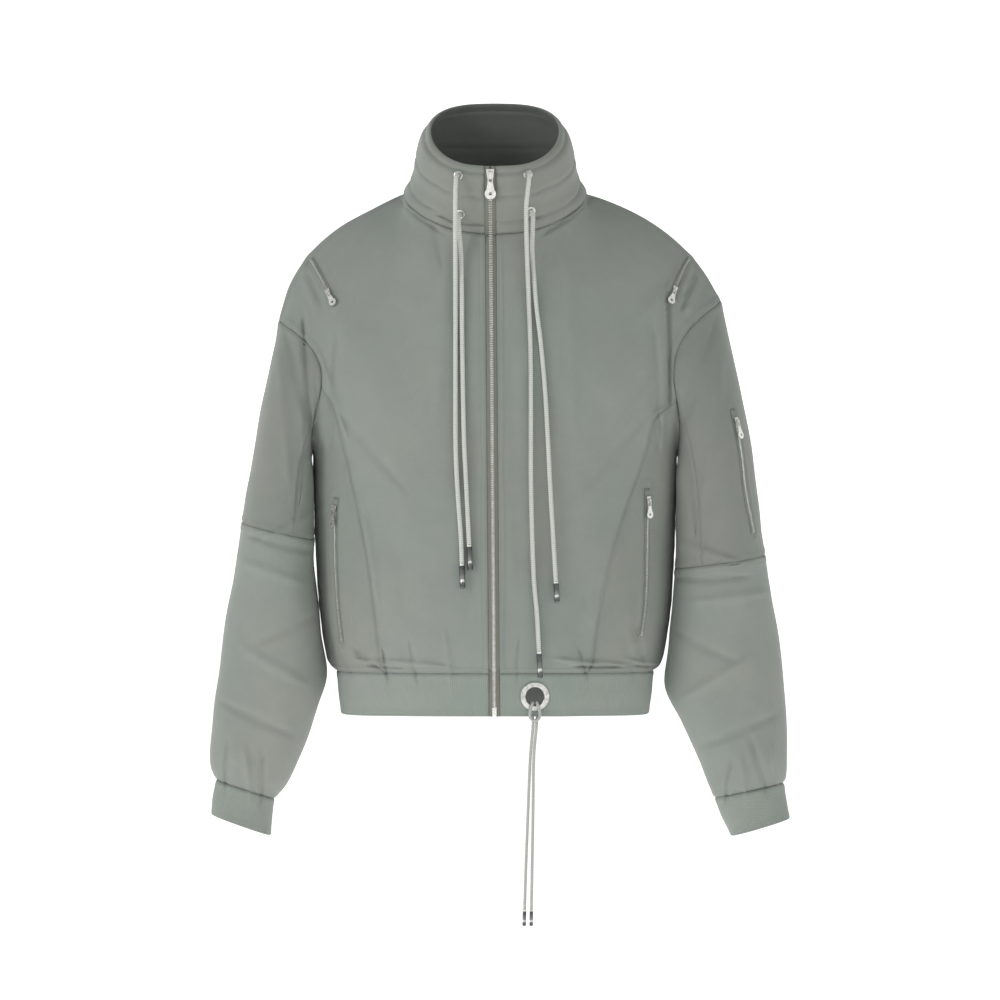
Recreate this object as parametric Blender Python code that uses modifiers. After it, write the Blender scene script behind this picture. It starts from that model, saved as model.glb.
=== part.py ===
"""A sweat jacket: a cropped, zip-front blouson with a funnel collar, filled out as if worn.

Metres, +Z up. The front faces -Y and the wearer's left is +X. The origin lies at the base of
the neck, between the shoulders that hold the garment up. Each piece of cloth is a wall between
an outer surface, lofted through sections of the garment, and the same surface moved inwards.
"""

import math
from collections import namedtuple

import bmesh
import bpy
import numpy as np
from mathutils import Matrix, Vector
from mathutils.bvhtree import BVHTree

# ---------------------------------------------------------------- driving dimensions

CLOTH = 0.0016            # wall of the body and sleeve cloth
BAND_CLOTH = 0.0022       # hem band and cuffs, two layers
COLLAR_CLOTH = 0.0030     # collar, two layers with cord channels
SEAM_GAP = 0.0003         # between neighbouring pieces
COLLAR_GAP = 0.0006       # twice the collar's own share of its seams, thick as it is
LIFT = 0.0004             # between a panel and what lies on it

NECK_CELLS = 6            # across a quarter of the neckline
SHOULDER_CELLS = 5        # along a shoulder seam
SIDE_CELLS = 5            # across a side front piece
ARM_POINTS = 20           # round an armhole and a sleeve
ARM_HALF = ARM_POINTS // 2

ZIP_HALF = 0.0070         # half the width between the two fronts
CHAIN_HALF = 0.0026       # half the width of the tooth chain
TAPE_WALL = 0.0010
CHAIN_WALL = 0.0022

GIRTH_POWER = 2.4         # roundness of the body's level sections: 2 is an ellipse
SLEEVE_POWER = 2.3
ARM_CLEARANCE = 0.0035    # between a sleeve and the body that it hangs against
RELAX_ROUNDS = 4
BACK_BOW = 0.36           # how far a sleeve's back is drawn in, against its front
HANG_BELOW = 0.02         # how far below the hem seam a sleeve is still kept off the body
HANG_ABOVE = 0.04         # and how far above the armpit
SIDE_TIP = 0.0015         # width of a side front's upper end
SHOULDER_EASE = 1.6       # how late a section near the shoulder bends towards the neckline

# Level sections of the body, hem seam to armpit.
BodyRow = namedtuple("BodyRow", "z half_width front back")
BODY_ROWS = [
    BodyRow(-0.570, 0.1985, 0.1275, 0.1215),
    BodyRow(-0.562, 0.2070, 0.1335, 0.1275),
    BodyRow(-0.545, 0.2130, 0.1390, 0.1325),
    BodyRow(-0.495, 0.2200, 0.1430, 0.1365),
    BodyRow(-0.430, 0.2245, 0.143, 0.137),
    BodyRow(-0.362, 0.2265, 0.139, 0.135),
    BodyRow(-0.295, 0.2280, 0.134, 0.132),
]

# Sections above the armpit, each ending on the armhole at a turn measured from the shoulder tip.
ChestRow = namedtuple("ChestRow", "turn front_y front_z back_y back_z edge_power")
CHEST_ROWS = [
    ChestRow(180, -0.134, -0.295, 0.132, -0.295, 1 / GIRTH_POWER),
    ChestRow(144, -0.131, -0.243, 0.132, -0.232, 0.60),
    ChestRow(108, -0.126, -0.190, 0.131, -0.165, 0.85),
    ChestRow(72, -0.118, -0.136, 0.128, -0.095, 1.00),
    ChestRow(36, -0.105, -0.078, 0.116, -0.025, 1.00),
    ChestRow(0, -0.090, -0.022, 0.098, 0.035, 1.00),
]
SHOULDER_TURN = 80        # below this turn the sections rise to the shoulder seam

# Rings of the collar, neck seam to rim.
CollarRow = namedtuple("CollarRow", "half_width front_y front_z side_z back_y back_z power")
COLLAR_ROWS = [
    CollarRow(0.1150, -0.0900, -0.022, 0.026, 0.098, 0.035, 2.2),
    CollarRow(0.1045, -0.0945, 0.000, 0.044, 0.092, 0.062, 2.3),
    CollarRow(0.0990, -0.0985, 0.024, 0.066, 0.086, 0.092, 2.5),
    CollarRow(0.0945, -0.1005, 0.047, 0.090, 0.079, 0.121, 2.7),
    CollarRow(0.0815, -0.0975, 0.063, 0.107, 0.069, 0.139, 2.8),
]

# Rings of the hem band, bottom edge to hem seam. The body's last section gives its outline.
BandRow = namedtuple("BandRow", "z share")
BAND_ROWS = [BandRow(-0.6240, 0.970), BandRow(-0.5975, 0.990), BandRow(-0.570, 1.0)]

ARMPIT = (0.228, -0.295)
ArmholeShape = namedtuple("ArmholeShape", "depth bow")
ARMHOLE = {-1: ArmholeShape(0.072, 0.033), 1: ArmholeShape(0.079, 0.012)}

# Rings of the sleeves: the outer and the inner end of each ring, its half depth front to back,
# how far it sits forward, and how far its front and back are drawn towards the chest.
SleeveRow = namedtuple("SleeveRow", "out_x out_z in_x in_z depth forward bow")
LEFT_SLEEVE = [
    SleeveRow(0.2955, -0.162, 0.2250, -0.316, 0.0780, 0.000, 0.015),
    SleeveRow(0.3070, -0.215, 0.2215, -0.338, 0.0800, 0.001, 0.005),
    SleeveRow(0.3180, -0.272, 0.2200, -0.364, 0.0800, 0.002, 0.0),
    SleeveRow(0.3275, -0.330, 0.2195, -0.393, 0.0790, 0.003, 0.0),
    SleeveRow(0.3340, -0.384, 0.2190, -0.420, 0.0770, 0.004, 0.0),
    SleeveRow(0.3380, -0.424, 0.2190, -0.441, 0.0750, 0.005, 0.0),
    SleeveRow(0.3460, -0.470, 0.2170, -0.487, 0.0725, 0.006, 0.0),
    SleeveRow(0.3535, -0.525, 0.2120, -0.540, 0.0690, 0.008, 0.0),
    SleeveRow(0.3600, -0.583, 0.2130, -0.588, 0.0630, 0.010, 0.0),
    SleeveRow(0.3650, -0.637, 0.2345, -0.633, 0.0570, 0.012, 0.0),
    SleeveRow(0.3668, -0.675, 0.2550, -0.682, 0.0510, 0.014, 0.0),
    SleeveRow(0.3655, -0.697, 0.2680, -0.714, 0.0430, 0.015, 0.0),
    SleeveRow(0.3610, -0.710, 0.2750, -0.729, 0.0320, 0.016, 0.0),
]
RIGHT_SLEEVE = [
    SleeveRow(0.2815, -0.185, 0.2250, -0.316, 0.0770, 0.000, 0.015),
    SleeveRow(0.2900, -0.230, 0.2215, -0.336, 0.0790, 0.001, 0.005),
    SleeveRow(0.2980, -0.275, 0.2200, -0.355, 0.0790, 0.002, 0.0),
    SleeveRow(0.3065, -0.318, 0.2195, -0.374, 0.0780, 0.003, 0.0),
    SleeveRow(0.3125, -0.352, 0.2195, -0.390, 0.0765, 0.004, 0.0),
    SleeveRow(0.3165, -0.383, 0.2195, -0.405, 0.0750, 0.005, 0.0),
    SleeveRow(0.3265, -0.445, 0.2175, -0.460, 0.0715, 0.006, 0.0),
    SleeveRow(0.3360, -0.505, 0.2120, -0.518, 0.0675, 0.008, 0.0),
    SleeveRow(0.3445, -0.567, 0.2090, -0.572, 0.0620, 0.010, 0.0),
    SleeveRow(0.3510, -0.615, 0.2210, -0.615, 0.0565, 0.012, 0.0),
    SleeveRow(0.3565, -0.662, 0.2400, -0.669, 0.0505, 0.014, 0.0),
    SleeveRow(0.3565, -0.688, 0.2580, -0.710, 0.0430, 0.015, 0.0),
    SleeveRow(0.3490, -0.706, 0.2760, -0.730, 0.0320, 0.016, 0.0),
]
LEFT_CUFF = [
    SleeveRow(0.3655, -0.732, 0.2830, -0.752, 0.0315, 0.018, 0.0),
    SleeveRow(0.3690, -0.755, 0.2960, -0.777, 0.0320, 0.020, 0.0),
]
RIGHT_CUFF = [
    SleeveRow(0.3540, -0.729, 0.2785, -0.753, 0.0315, 0.018, 0.0),
    SleeveRow(0.3550, -0.750, 0.2810, -0.776, 0.0320, 0.020, 0.0),
]
ELBOW_ROW = 6             # ring of the elbow seam, the armhole being ring 0
UNDER_SLEEVE = (6, 14)    # points of a ring between the front and back seams of the under sleeve

# Each side of the garment: the crest of its shoulder, and the shaped seam of its side front.
Side = namedtuple("Side", "name sign tip crest seam apex sleeve cuff")
SIDES = [
    Side("left", 1, (0.2830, -0.108),
         [(0.141, 0.0185), (0.181, -0.001), (0.215, -0.022), (0.250, -0.056), (0.2685, -0.082)],
         [(-0.570, 0.1140), (-0.505, 0.1165), (-0.465, 0.1225), (-0.431, 0.1320),
          (-0.390, 0.1440), (-0.348, 0.1600), (-0.315, 0.1760), (-0.285, 0.1950)],
         4, LEFT_SLEEVE, LEFT_CUFF),
    Side("right", -1, (0.2705, -0.132),
         [(0.131, 0.0185), (0.170, -0.001), (0.204, -0.022), (0.236, -0.053), (0.2575, -0.088)],
         [(-0.570, 0.1370), (-0.515, 0.1400), (-0.465, 0.1465), (-0.410, 0.1545),
          (-0.360, 0.1660), (-0.315, 0.1790), (-0.2625, 0.1960), (-0.240, 0.2060)],
         5, RIGHT_SLEEVE, RIGHT_CUFF),
]

# The hem is cut higher in front: how much, and the level from which the rise grows.
FRONT_RISE = 0.0045
RISE_FROM = -0.380

# Soft folds of the cloth as they show from the front (face -1) or from the back (face 1): both
# ends, half the width, and how far the fold stands out.
Fold = namedtuple("Fold", "x0 z0 x1 z1 half_width out face")
FOLDS = [
    Fold(0.172, -0.455, 0.186, -0.558, 0.018, 0.0040, -1),
    Fold(0.102, -0.490, 0.128, -0.560, 0.017, -0.0035, -1),
    Fold(0.058, -0.515, 0.082, -0.560, 0.016, 0.0030, -1),
    Fold(0.196, -0.300, 0.120, -0.400, 0.024, -0.0035, -1),
    Fold(0.205, -0.110, 0.150, -0.205, 0.022, 0.0030, -1),
    Fold(-0.166, -0.440, -0.178, -0.558, 0.018, 0.0040, -1),
    Fold(-0.108, -0.490, -0.128, -0.560, 0.017, -0.0035, -1),
    Fold(-0.196, -0.290, -0.118, -0.415, 0.024, -0.0030, -1),
    Fold(-0.195, -0.120, -0.150, -0.215, 0.022, 0.0030, -1),
    Fold(0.205, -0.140, 0.150, -0.300, 0.026, 0.0045, 1),
    Fold(-0.205, -0.150, -0.140, -0.290, 0.026, 0.0045, 1),
    Fold(0.085, -0.420, 0.120, -0.558, 0.022, 0.0040, 1),
    Fold(-0.090, -0.400, -0.112, -0.558, 0.022, 0.0040, 1),
    Fold(0.010, -0.450, -0.005, -0.558, 0.020, -0.0030, 1),
    Fold(0.238, -0.440, 0.322, -0.462, 0.016, -0.0040, -1),
    Fold(0.236, -0.500, 0.330, -0.528, 0.016, -0.0035, -1),
    Fold(0.262, -0.625, 0.338, -0.676, 0.014, 0.0035, -1),
    Fold(-0.238, -0.412, -0.308, -0.428, 0.016, -0.0040, -1),
    Fold(-0.236, -0.480, -0.320, -0.506, 0.016, -0.0035, -1),
    Fold(-0.262, -0.612, -0.335, -0.668, 0.014, 0.0035, -1),
    Fold(0.240, -0.430, 0.326, -0.455, 0.018, -0.0045, 1),
    Fold(0.245, -0.560, 0.345, -0.600, 0.018, 0.0040, 1),
    Fold(-0.240, -0.400, -0.312, -0.420, 0.018, -0.0045, 1),
    Fold(-0.245, -0.545, -0.335, -0.585, 0.018, 0.0040, 1),
]
FOLD_REACH = 0.045        # depth from the middle of the garment at which a fold is at its full

# The zip line leans from the hem to the collar's rim.
ZIP_LINE = [(-0.624, -0.0006), (0.065, -0.0060)]

# ---------------------------------------------------------------- curves and grids


def spline(points, per_span=12):
    """Points on a smooth curve through the given ones, `per_span` to each span."""
    points = np.asarray(points, float)
    ends = (2 * points[0] - points[1], 2 * points[-1] - points[-2])
    padded = np.vstack([ends[0], points, ends[1]])
    t = np.linspace(0, 1, per_span, endpoint=False)[:, None]
    spans = []
    for a, b, c, d in zip(padded, padded[1:], padded[2:], padded[3:]):
        cubic = (3 * b - a - 3 * c + d) * t ** 3
        square = (2 * a - 5 * b + 4 * c - d) * t ** 2
        spans.append((2 * b + (c - a) * t + square + cubic) / 2)
    return np.vstack(spans + [points[-1:]])


def shares(curve):
    """How far along a polyline each of its points lies, from 0 to 1."""
    steps = np.linalg.norm(np.diff(curve, axis=0), axis=1)
    run = np.concatenate([[0], np.cumsum(steps)])
    return run / run[-1]


def spread(curve, wanted):
    """Points at the wanted shares of a polyline's length."""
    run = shares(curve)
    return np.stack([np.interp(wanted, run, curve[:, k]) for k in range(3)], axis=1)


def rounded(value, power):
    """A sine or cosine bent into its superellipse form."""
    return np.sign(value) * np.abs(value) ** (2 / power)


def table_at(rows, key):
    """A row of a table of named columns at any value of its first column."""
    dense = spline(rows)
    if dense[0, 0] > dense[-1, 0]:
        dense = dense[::-1]
    return type(rows[0])(*(np.interp(key, dense[:, 0], dense[:, k]) for k in range(dense.shape[1])))


def grid_normals(grid, sign, closed=False):
    """Unit normals of a grid of points, turned outwards by the sign."""
    along = np.gradient(grid, axis=0)
    if closed:
        across = np.roll(grid, -1, axis=1) - np.roll(grid, 1, axis=1)
    else:
        across = np.gradient(grid, axis=1)
    normals = np.cross(across, along) * sign
    return normals / np.linalg.norm(normals, axis=2, keepdims=True)


def join_normals(first, second):
    """Gives two edges that meet at a seam the same normals, unless they lie back to back."""
    turn = np.clip(np.sum(first * second, axis=-1, keepdims=True) * 4 + 1, 0, 1)
    new_first = first + second * turn
    new_second = second + first * turn
    first[:] = new_first / np.linalg.norm(new_first, axis=-1, keepdims=True)
    second[:] = new_second / np.linalg.norm(new_second, axis=-1, keepdims=True)


def relax(grid, rounds):
    """Evens out the inside of a grid and leaves its edges where they are."""
    for _ in range(rounds):
        middle = (grid[2:, 1:-1] + grid[:-2, 1:-1] + grid[1:-1, 2:] + grid[1:-1, :-2]) / 4
        grid[1:-1, 1:-1] = (grid[1:-1, 1:-1] + middle) / 2
    return grid


def shape_cloth(grid):
    """Raises the front of the hem and lays the folds into a grid of points."""
    x, y, z = grid[..., 0], grid[..., 1], grid[..., 2]
    level = np.clip((RISE_FROM - z) / (RISE_FROM - BODY_ROWS[0].z), 0, 1)
    forward = np.clip(-y / BODY_ROWS[0].front, 0, 1)
    shaped = grid.copy()
    shaped[..., 2] += FRONT_RISE * level ** 2 * forward ** 1.5
    reach = np.clip(np.abs(y) / FOLD_REACH, 0, 1)
    for fold in FOLDS:
        along = np.array([fold.x1 - fold.x0, fold.z1 - fold.z0])
        length = np.linalg.norm(along)
        along /= length
        run = (x - fold.x0) * along[0] + (z - fold.z0) * along[1]
        aside = (x - fold.x0) * along[1] - (z - fold.z0) * along[0]
        past = np.maximum(np.maximum(-run, run - length), 0)
        height = np.exp(-(aside ** 2 + past ** 2) / fold.half_width ** 2) * reach ** 2
        shaped[..., 1] += np.where(y * fold.face > 0, fold.face * fold.out * height, 0)
    return shaped


def relax_front(front, flank):
    """Evens out a front together with its side front, right across their seam."""
    rows, columns = len(flank), front.shape[1]
    for _ in range(RELAX_ROUNDS):
        both = np.concatenate([front[:rows], flank[:, 1:]], axis=1)
        relax(both, 1)
        relax(front[rows - 2:], 1)
        front[:rows - 1] = both[:rows - 1, :columns]
        flank[:rows - 1] = both[:rows - 1, columns - 1:]


def inset(grid, edges, gap=SEAM_GAP):
    """Draws the named edges of a grid in by half a seam gap."""
    moved = grid.copy()
    pairs = {"first_row": (moved[0], grid[1]), "last_row": (moved[-1], grid[-2]),
             "first_column": (moved[:, 0], grid[:, 1]), "last_column": (moved[:, -1], grid[:, -2])}
    for edge in edges:
        line, inner = pairs[edge]
        run = np.gradient(line, axis=0)
        run /= np.linalg.norm(run, axis=1, keepdims=True)
        step = inner - line
        step -= run * np.sum(step * run, axis=1, keepdims=True)
        line += step / np.linalg.norm(step, axis=1, keepdims=True) * gap / 2
    return moved


ALL_EDGES = ("first_row", "last_row", "first_column", "last_column")
ROW_EDGES = ("first_row", "last_row")

# ---------------------------------------------------------------- the garment's surfaces


def zip_x(z):
    """Where the zip line crosses a level."""
    heights, places = zip(*ZIP_LINE)
    return np.interp(z, heights, places)


def hollow(turn):
    """How far an armhole is cut into the body round its turn, most of it high up."""
    return math.sin(turn) ** 2 * (1 + math.cos(turn))


def armhole_point(side, face, turn):
    """A point of the armhole: turn 0 at the shoulder tip, pi at the armpit."""
    shape = ARMHOLE[face]
    down = (1 - math.cos(turn)) / 2
    x = side.tip[0] + (ARMPIT[0] - side.tip[0]) * down - shape.bow * hollow(turn)
    z = side.tip[1] + (ARMPIT[1] - side.tip[1]) * down
    return np.array([side.sign * x, face * shape.depth * math.sin(turn), z])


def level_curve(side, face, z):
    """A quarter of the body's level section, centre to side seam."""
    row = table_at(BODY_ROWS, z)
    depth = row.front if face < 0 else row.back
    turn = np.linspace(0, math.pi / 2, 90)
    x = side.sign * row.half_width * rounded(np.sin(turn), GIRTH_POWER)
    y = face * depth * rounded(np.cos(turn), GIRTH_POWER)
    return np.stack([x, y, np.full_like(x, z)], axis=1)


def chest_curve(side, face, turn):
    """A section above the armpit, from the centre to the armhole."""
    row = table_at(CHEST_ROWS, math.degrees(turn))
    end = armhole_point(side, face, turn)
    centre_y, centre_z = (row.front_y, row.front_z) if face < 0 else (row.back_y, row.back_z)
    reach = np.linspace(0, 1, 90)
    fall = (1 - reach ** GIRTH_POWER) ** row.edge_power
    x = end[0] * reach
    y = end[1] + (centre_y - end[1]) * fall
    z = centre_z + (end[2] - centre_z) * reach ** 2
    return np.stack([x, y, z], axis=1)


def from_zip(curve, side):
    """Cuts a front curve off where the front meets the zip tape."""
    edge = ZIP_HALF + side.sign * zip_x(curve[0, 2])
    reach = curve[:, 0] * side.sign
    start = [np.interp(edge, reach, curve[:, k]) for k in range(3)]
    return np.vstack([start, curve[reach > edge + 1e-6]])


def collar_point(row, side_sign, angle):
    """A point of a collar ring: angle 0 at the front, pi at the back."""
    centre_y = (row.front_y + row.back_y) / 2
    centre_z = (row.front_z + row.back_z + 2 * row.side_z) / 4
    tilt = (row.front_z - row.back_z) / 2
    dip = ((row.front_z + row.back_z) / 2 - row.side_z) / 2
    x = row.half_width * rounded(math.sin(angle), row.power)
    y = centre_y + (row.front_y - row.back_y) / 2 * rounded(math.cos(angle), row.power)
    z = centre_z + tilt * math.cos(angle) + dip * math.cos(2 * angle)
    return np.array([side_sign * x, y, z])


def collar_angles(row, side_sign, face):
    """The angles of a ring's points on one quarter, starting from the centre line."""
    if face > 0:
        return np.linspace(math.pi, math.pi / 2, NECK_CELLS + 1)
    edge = ZIP_HALF + side_sign * zip_x(row.front_z)
    start = math.asin((edge / row.half_width) ** (row.power / 2))
    return np.linspace(start, math.pi / 2, NECK_CELLS + 1)


def top_edge(side, face):
    """The neckline from the centre to the neck point, then the shoulder seam to its tip."""
    base = COLLAR_ROWS[0]
    neckline = [collar_point(base, side.sign, a) for a in collar_angles(base, side.sign, face)]
    neck_point = neckline[-1]
    crest = [neck_point] + [(side.sign * x, neck_point[1] / 2, z) for x, z in side.crest]
    crest.append((side.sign * side.tip[0], 0.0, side.tip[1]))
    seam = spread(spline(crest), np.linspace(0, 1, SHOULDER_CELLS + 1))
    return np.vstack([neckline, seam[1:]])


def seam_share(curve, side):
    """How far across a front section the shaped side seam crosses it."""
    seam = np.array(side.seam)
    reach = np.abs(curve[:, 0])
    past = reach - np.interp(curve[:, 2], seam[:, 0], seam[:, 1])
    return np.interp(0, past, shares(curve))


def body_sections(side, face):
    """The curves across a quarter of the body, hem seam to shoulder."""
    levels = [row.z for row in BODY_ROWS[:-1]]
    turns = np.linspace(math.pi, 0, ARM_HALF + 1)
    curves = [level_curve(side, face, z) for z in levels]
    curves += [chest_curve(side, face, turn) for turn in turns]
    if face < 0:
        curves = [from_zip(curve, side) for curve in curves]
    return curves, turns


def rise_to_shoulder(points, turn, top):
    """Lifts a section near the shoulder towards the neckline and the shoulder seam."""
    near = max(0.0, 1 - math.degrees(turn) / SHOULDER_TURN)
    points[:, :2] += (top - points)[:, :2] * near ** SHOULDER_EASE
    points[:, 2] += (top - points)[:, 2] * near ** 2 * (3 - 2 * near)
    return points


def body_quarter(side, face):
    """Grid of a quarter of the body, and of its side front where the face is the front."""
    curves, turns = body_sections(side, face)
    top = top_edge(side, face)
    columns = NECK_CELLS + SHOULDER_CELLS
    even = np.linspace(0, 1, columns + 1)
    first_chest_row = len(curves) - len(turns)
    apex_row = first_chest_row + side.apex
    main, side_front = [], []
    for number, curve in enumerate(curves):
        height = max(0.0, (number - first_chest_row) / ARM_HALF)
        across = even * (1 - height) + shares(top) * height
        if face < 0 and number <= apex_row:
            reach = seam_share(curve, side)
            if number == apex_row:
                reach = 1 - SIDE_TIP / np.sum(np.linalg.norm(np.diff(curve, axis=0), axis=1))
            side_front.append(spread(curve, np.linspace(reach, 1, SIDE_CELLS + 1)))
            across = across * reach
        row = spread(curve, across)
        if number >= first_chest_row:
            turn = turns[number - first_chest_row]
            row = rise_to_shoulder(row, turn, top)
            if face > 0 or number > apex_row:
                row[-1] = armhole_point(side, face, turn)
        main.append(row)
    main[-1] = top
    return np.array(main), np.array(side_front) if side_front else None


def body_half_width(y, z):
    """How far out the body's side lies at a depth and a level below the armpit."""
    row = table_at(BODY_ROWS, min(max(z, BODY_ROWS[0].z), BODY_ROWS[-1].z))
    depth = row.front if y < 0 else row.back
    inside = max(0.0, 1 - (abs(y) / depth) ** GIRTH_POWER)
    return row.half_width * inside ** (1 / GIRTH_POWER)


def sleeve_ring(row, sign):
    """Points round a sleeve: the outer end first, then the front, the inner end and the back."""
    points = []
    for k in range(ARM_POINTS):
        turn = 2 * math.pi * k / ARM_POINTS
        out = rounded(math.cos(turn), SLEEVE_POWER)
        x = (row.out_x + row.in_x) / 2 + (row.out_x - row.in_x) / 2 * out
        z = (row.out_z + row.in_z) / 2 + (row.out_z - row.in_z) / 2 * out
        x -= row.bow * hollow(turn) * (1 if k <= ARM_HALF else BACK_BOW)
        y = -row.forward - row.depth * rounded(math.sin(turn), SLEEVE_POWER)
        if BODY_ROWS[0].z - HANG_BELOW < z < ARMPIT[1] + HANG_ABOVE:
            x = max(x, body_half_width(y, z) + ARM_CLEARANCE)
        points.append((sign * x, y, z))
    return points


def armhole_ring(side):
    """The armhole as a sleeve's first ring."""
    turns = [math.pi * k / ARM_HALF for k in range(ARM_HALF + 1)]
    front = [armhole_point(side, -1, turn) for turn in turns]
    back = [armhole_point(side, 1, turn) for turn in turns]
    return front + back[-2:0:-1]


def sleeve_grids(side):
    """The rings of a sleeve from the armhole to the cuff seam, and those of its cuff."""
    sleeve = np.array([armhole_ring(side)] + [sleeve_ring(row, side.sign) for row in side.sleeve])
    cuff = np.array([sleeve[-1]] + [sleeve_ring(row, side.sign) for row in side.cuff])
    return sleeve, cuff


def collar_grid():
    """Rings of the collar from the zip round the wearer's left, the back and the right."""
    rings = []
    for row in COLLAR_ROWS:
        quarters = [[collar_point(row, sign, a) for a in collar_angles(row, sign, face)]
                    for sign, face in ((1, -1), (1, 1), (-1, 1), (-1, -1))]
        ring = quarters[0] + quarters[1][-2::-1] + quarters[2][1:] + quarters[3][-2::-1]
        rings.append(ring)
    return np.array(rings)


def band_grid(hem):
    """Rings of the hem band under the body's hem seam."""
    rings = []
    for row in BAND_ROWS:
        ring = hem.copy()
        zip_side = np.sign(ring[0, 0] - zip_x(row.z))
        ring[:, :2] *= row.share
        ring[:, 2] += row.z - BODY_ROWS[0].z
        ring[0, 0] = zip_x(row.z) + zip_side * ZIP_HALF
        ring[-1, 0] = zip_x(row.z) - zip_side * ZIP_HALF
        rings.append(ring)
    return np.array(rings)


# ---------------------------------------------------------------- making objects

PARTS = "sweat_jacket"
CUTTERS = "cutters"

Finish = namedtuple("Finish", "colour roughness metallic")
FINISHES = {
    "shell_cloth": Finish((0.255, 0.285, 0.255), 0.85, 0.0),
    "zip_tape": Finish((0.235, 0.255, 0.225), 0.90, 0.0),
    "bright_metal": Finish((0.62, 0.62, 0.60), 0.30, 1.0),
    "dark_metal": Finish((0.10, 0.10, 0.10), 0.35, 1.0),
    "pale_cord": Finish((0.56, 0.57, 0.53), 0.90, 0.0),
}


def clear_scene():
    """Removes whatever the scene held."""
    for thing in list(bpy.data.objects):
        bpy.data.objects.remove(thing, do_unlink=True)


def collection(name):
    """The named collection, made on first use."""
    if name not in bpy.data.collections:
        bpy.context.scene.collection.children.link(bpy.data.collections.new(name))
    return bpy.data.collections[name]


def new_material(name, finish):
    """A material of one piece with the piece's own name."""
    material = bpy.data.materials.new(name)
    material.use_nodes = True
    shader = material.node_tree.nodes["Principled BSDF"]
    shader.inputs["Base Color"].default_value = (*finish.colour, 1)
    shader.inputs["Roughness"].default_value = finish.roughness
    shader.inputs["Metallic"].default_value = finish.metallic
    return material


def add_part(name, data, finish, matrix=None):
    """Puts a mesh or a curve into the garment as one named piece."""
    piece = bpy.data.objects.new(name, data)
    piece.data.materials.clear()
    piece.data.materials.append(new_material(name, FINISHES[finish]))
    if matrix is not None:
        piece.matrix_world = matrix
    collection(PARTS).objects.link(piece)
    return piece


def mesh_from(name, vertices, faces):
    """A smooth-shaded mesh whose faces point outwards."""
    mesh = bpy.data.meshes.new(name)
    mesh.from_pydata([tuple(map(float, v)) for v in vertices], [], faces)
    shaped = bmesh.new()
    shaped.from_mesh(mesh)
    bmesh.ops.recalc_face_normals(shaped, faces=shaped.faces)
    shaped.to_mesh(mesh)
    shaped.free()
    mesh.shade_smooth()
    mesh.set_sharp_from_angle(angle=math.radians(40))
    return mesh


def wall_mesh(name, outer, normals, wall, closed=False):
    """The wall between a grid of points and the same grid moved in by the wall's thickness."""
    rows, columns = outer.shape[:2]
    inner = outer - normals * wall
    vertices = np.vstack([outer.reshape(-1, 3), inner.reshape(-1, 3)])
    layer = rows * columns
    cells = columns if closed else columns - 1

    def at(row, column, side):
        return side * layer + row * columns + column % columns

    faces = []
    for row in range(rows - 1):
        for column in range(cells):
            corners = [(row, column), (row, column + 1), (row + 1, column + 1), (row + 1, column)]
            a, b, c, d = (outer[r, k % columns] for r, k in corners)
            stands_out = np.dot(a + c - b - d, normals[row, column]) > 0
            for triangle in halves_of(corners, stands_out):
                faces.append([at(*corner, 0) for corner in triangle])
                faces.append([at(*corner, 1) for corner in reversed(triangle)])
    edges = [((row, column), (row, column + 1)) for column in range(cells) for row in (0, rows - 1)]
    if not closed:
        edges += [((row, column), (row + 1, column)) for row in range(rows - 1)
                  for column in (0, columns - 1)]
    for start, end in edges:
        corners = [at(*start, 0), at(*end, 0), at(*end, 1), at(*start, 1)]
        a, b, c, d = (vertices[k] for k in corners)
        faces += halves_of(corners, np.linalg.norm(a - c) < np.linalg.norm(b - d))
    return mesh_from(name, vertices, faces)


def halves_of(corners, from_first):
    """The two triangles of a quad, cut from its first corner or from its second."""
    a, b, c, d = corners
    return [[a, b, c], [a, c, d]] if from_first else [[b, c, d], [b, d, a]]


def cloth_part(name, outer, normals, wall=CLOTH, edges=ALL_EDGES, closed=False, gap=SEAM_GAP):
    """A piece of cloth, drawn in at its seams."""
    drawn_in = inset(outer, edges, gap)
    return add_part(name, wall_mesh(name, drawn_in, normals, wall, closed), "shell_cloth")


# ---------------------------------------------------------------- cloth pieces

ARMPIT_ROW = len(BODY_ROWS) - 1
QUARTER = NECK_CELLS + SHOULDER_CELLS

Half = namedtuple("Half", "side front flank back sleeve cuff")


def make_halves():
    """The surfaces of both halves of the garment, sharing one back."""
    backs = {side.name: body_quarter(side, 1)[0] for side in SIDES}
    back = np.concatenate([backs["right"][:, :0:-1], backs["left"]], axis=1)
    relax(back, RELAX_ROUNDS)
    back = shape_cloth(back)
    halves = []
    for side in SIDES:
        front, flank = body_quarter(side, -1)
        relax_front(front, flank)
        front, flank = shape_cloth(front), shape_cloth(flank)
        sleeve, cuff = (shape_cloth(grid) for grid in sleeve_grids(side))
        half_back = back[:, QUARTER:] if side.sign > 0 else back[:, QUARTER::-1]
        halves.append(Half(side, front, flank, half_back, sleeve, cuff))
    return halves, back


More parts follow.
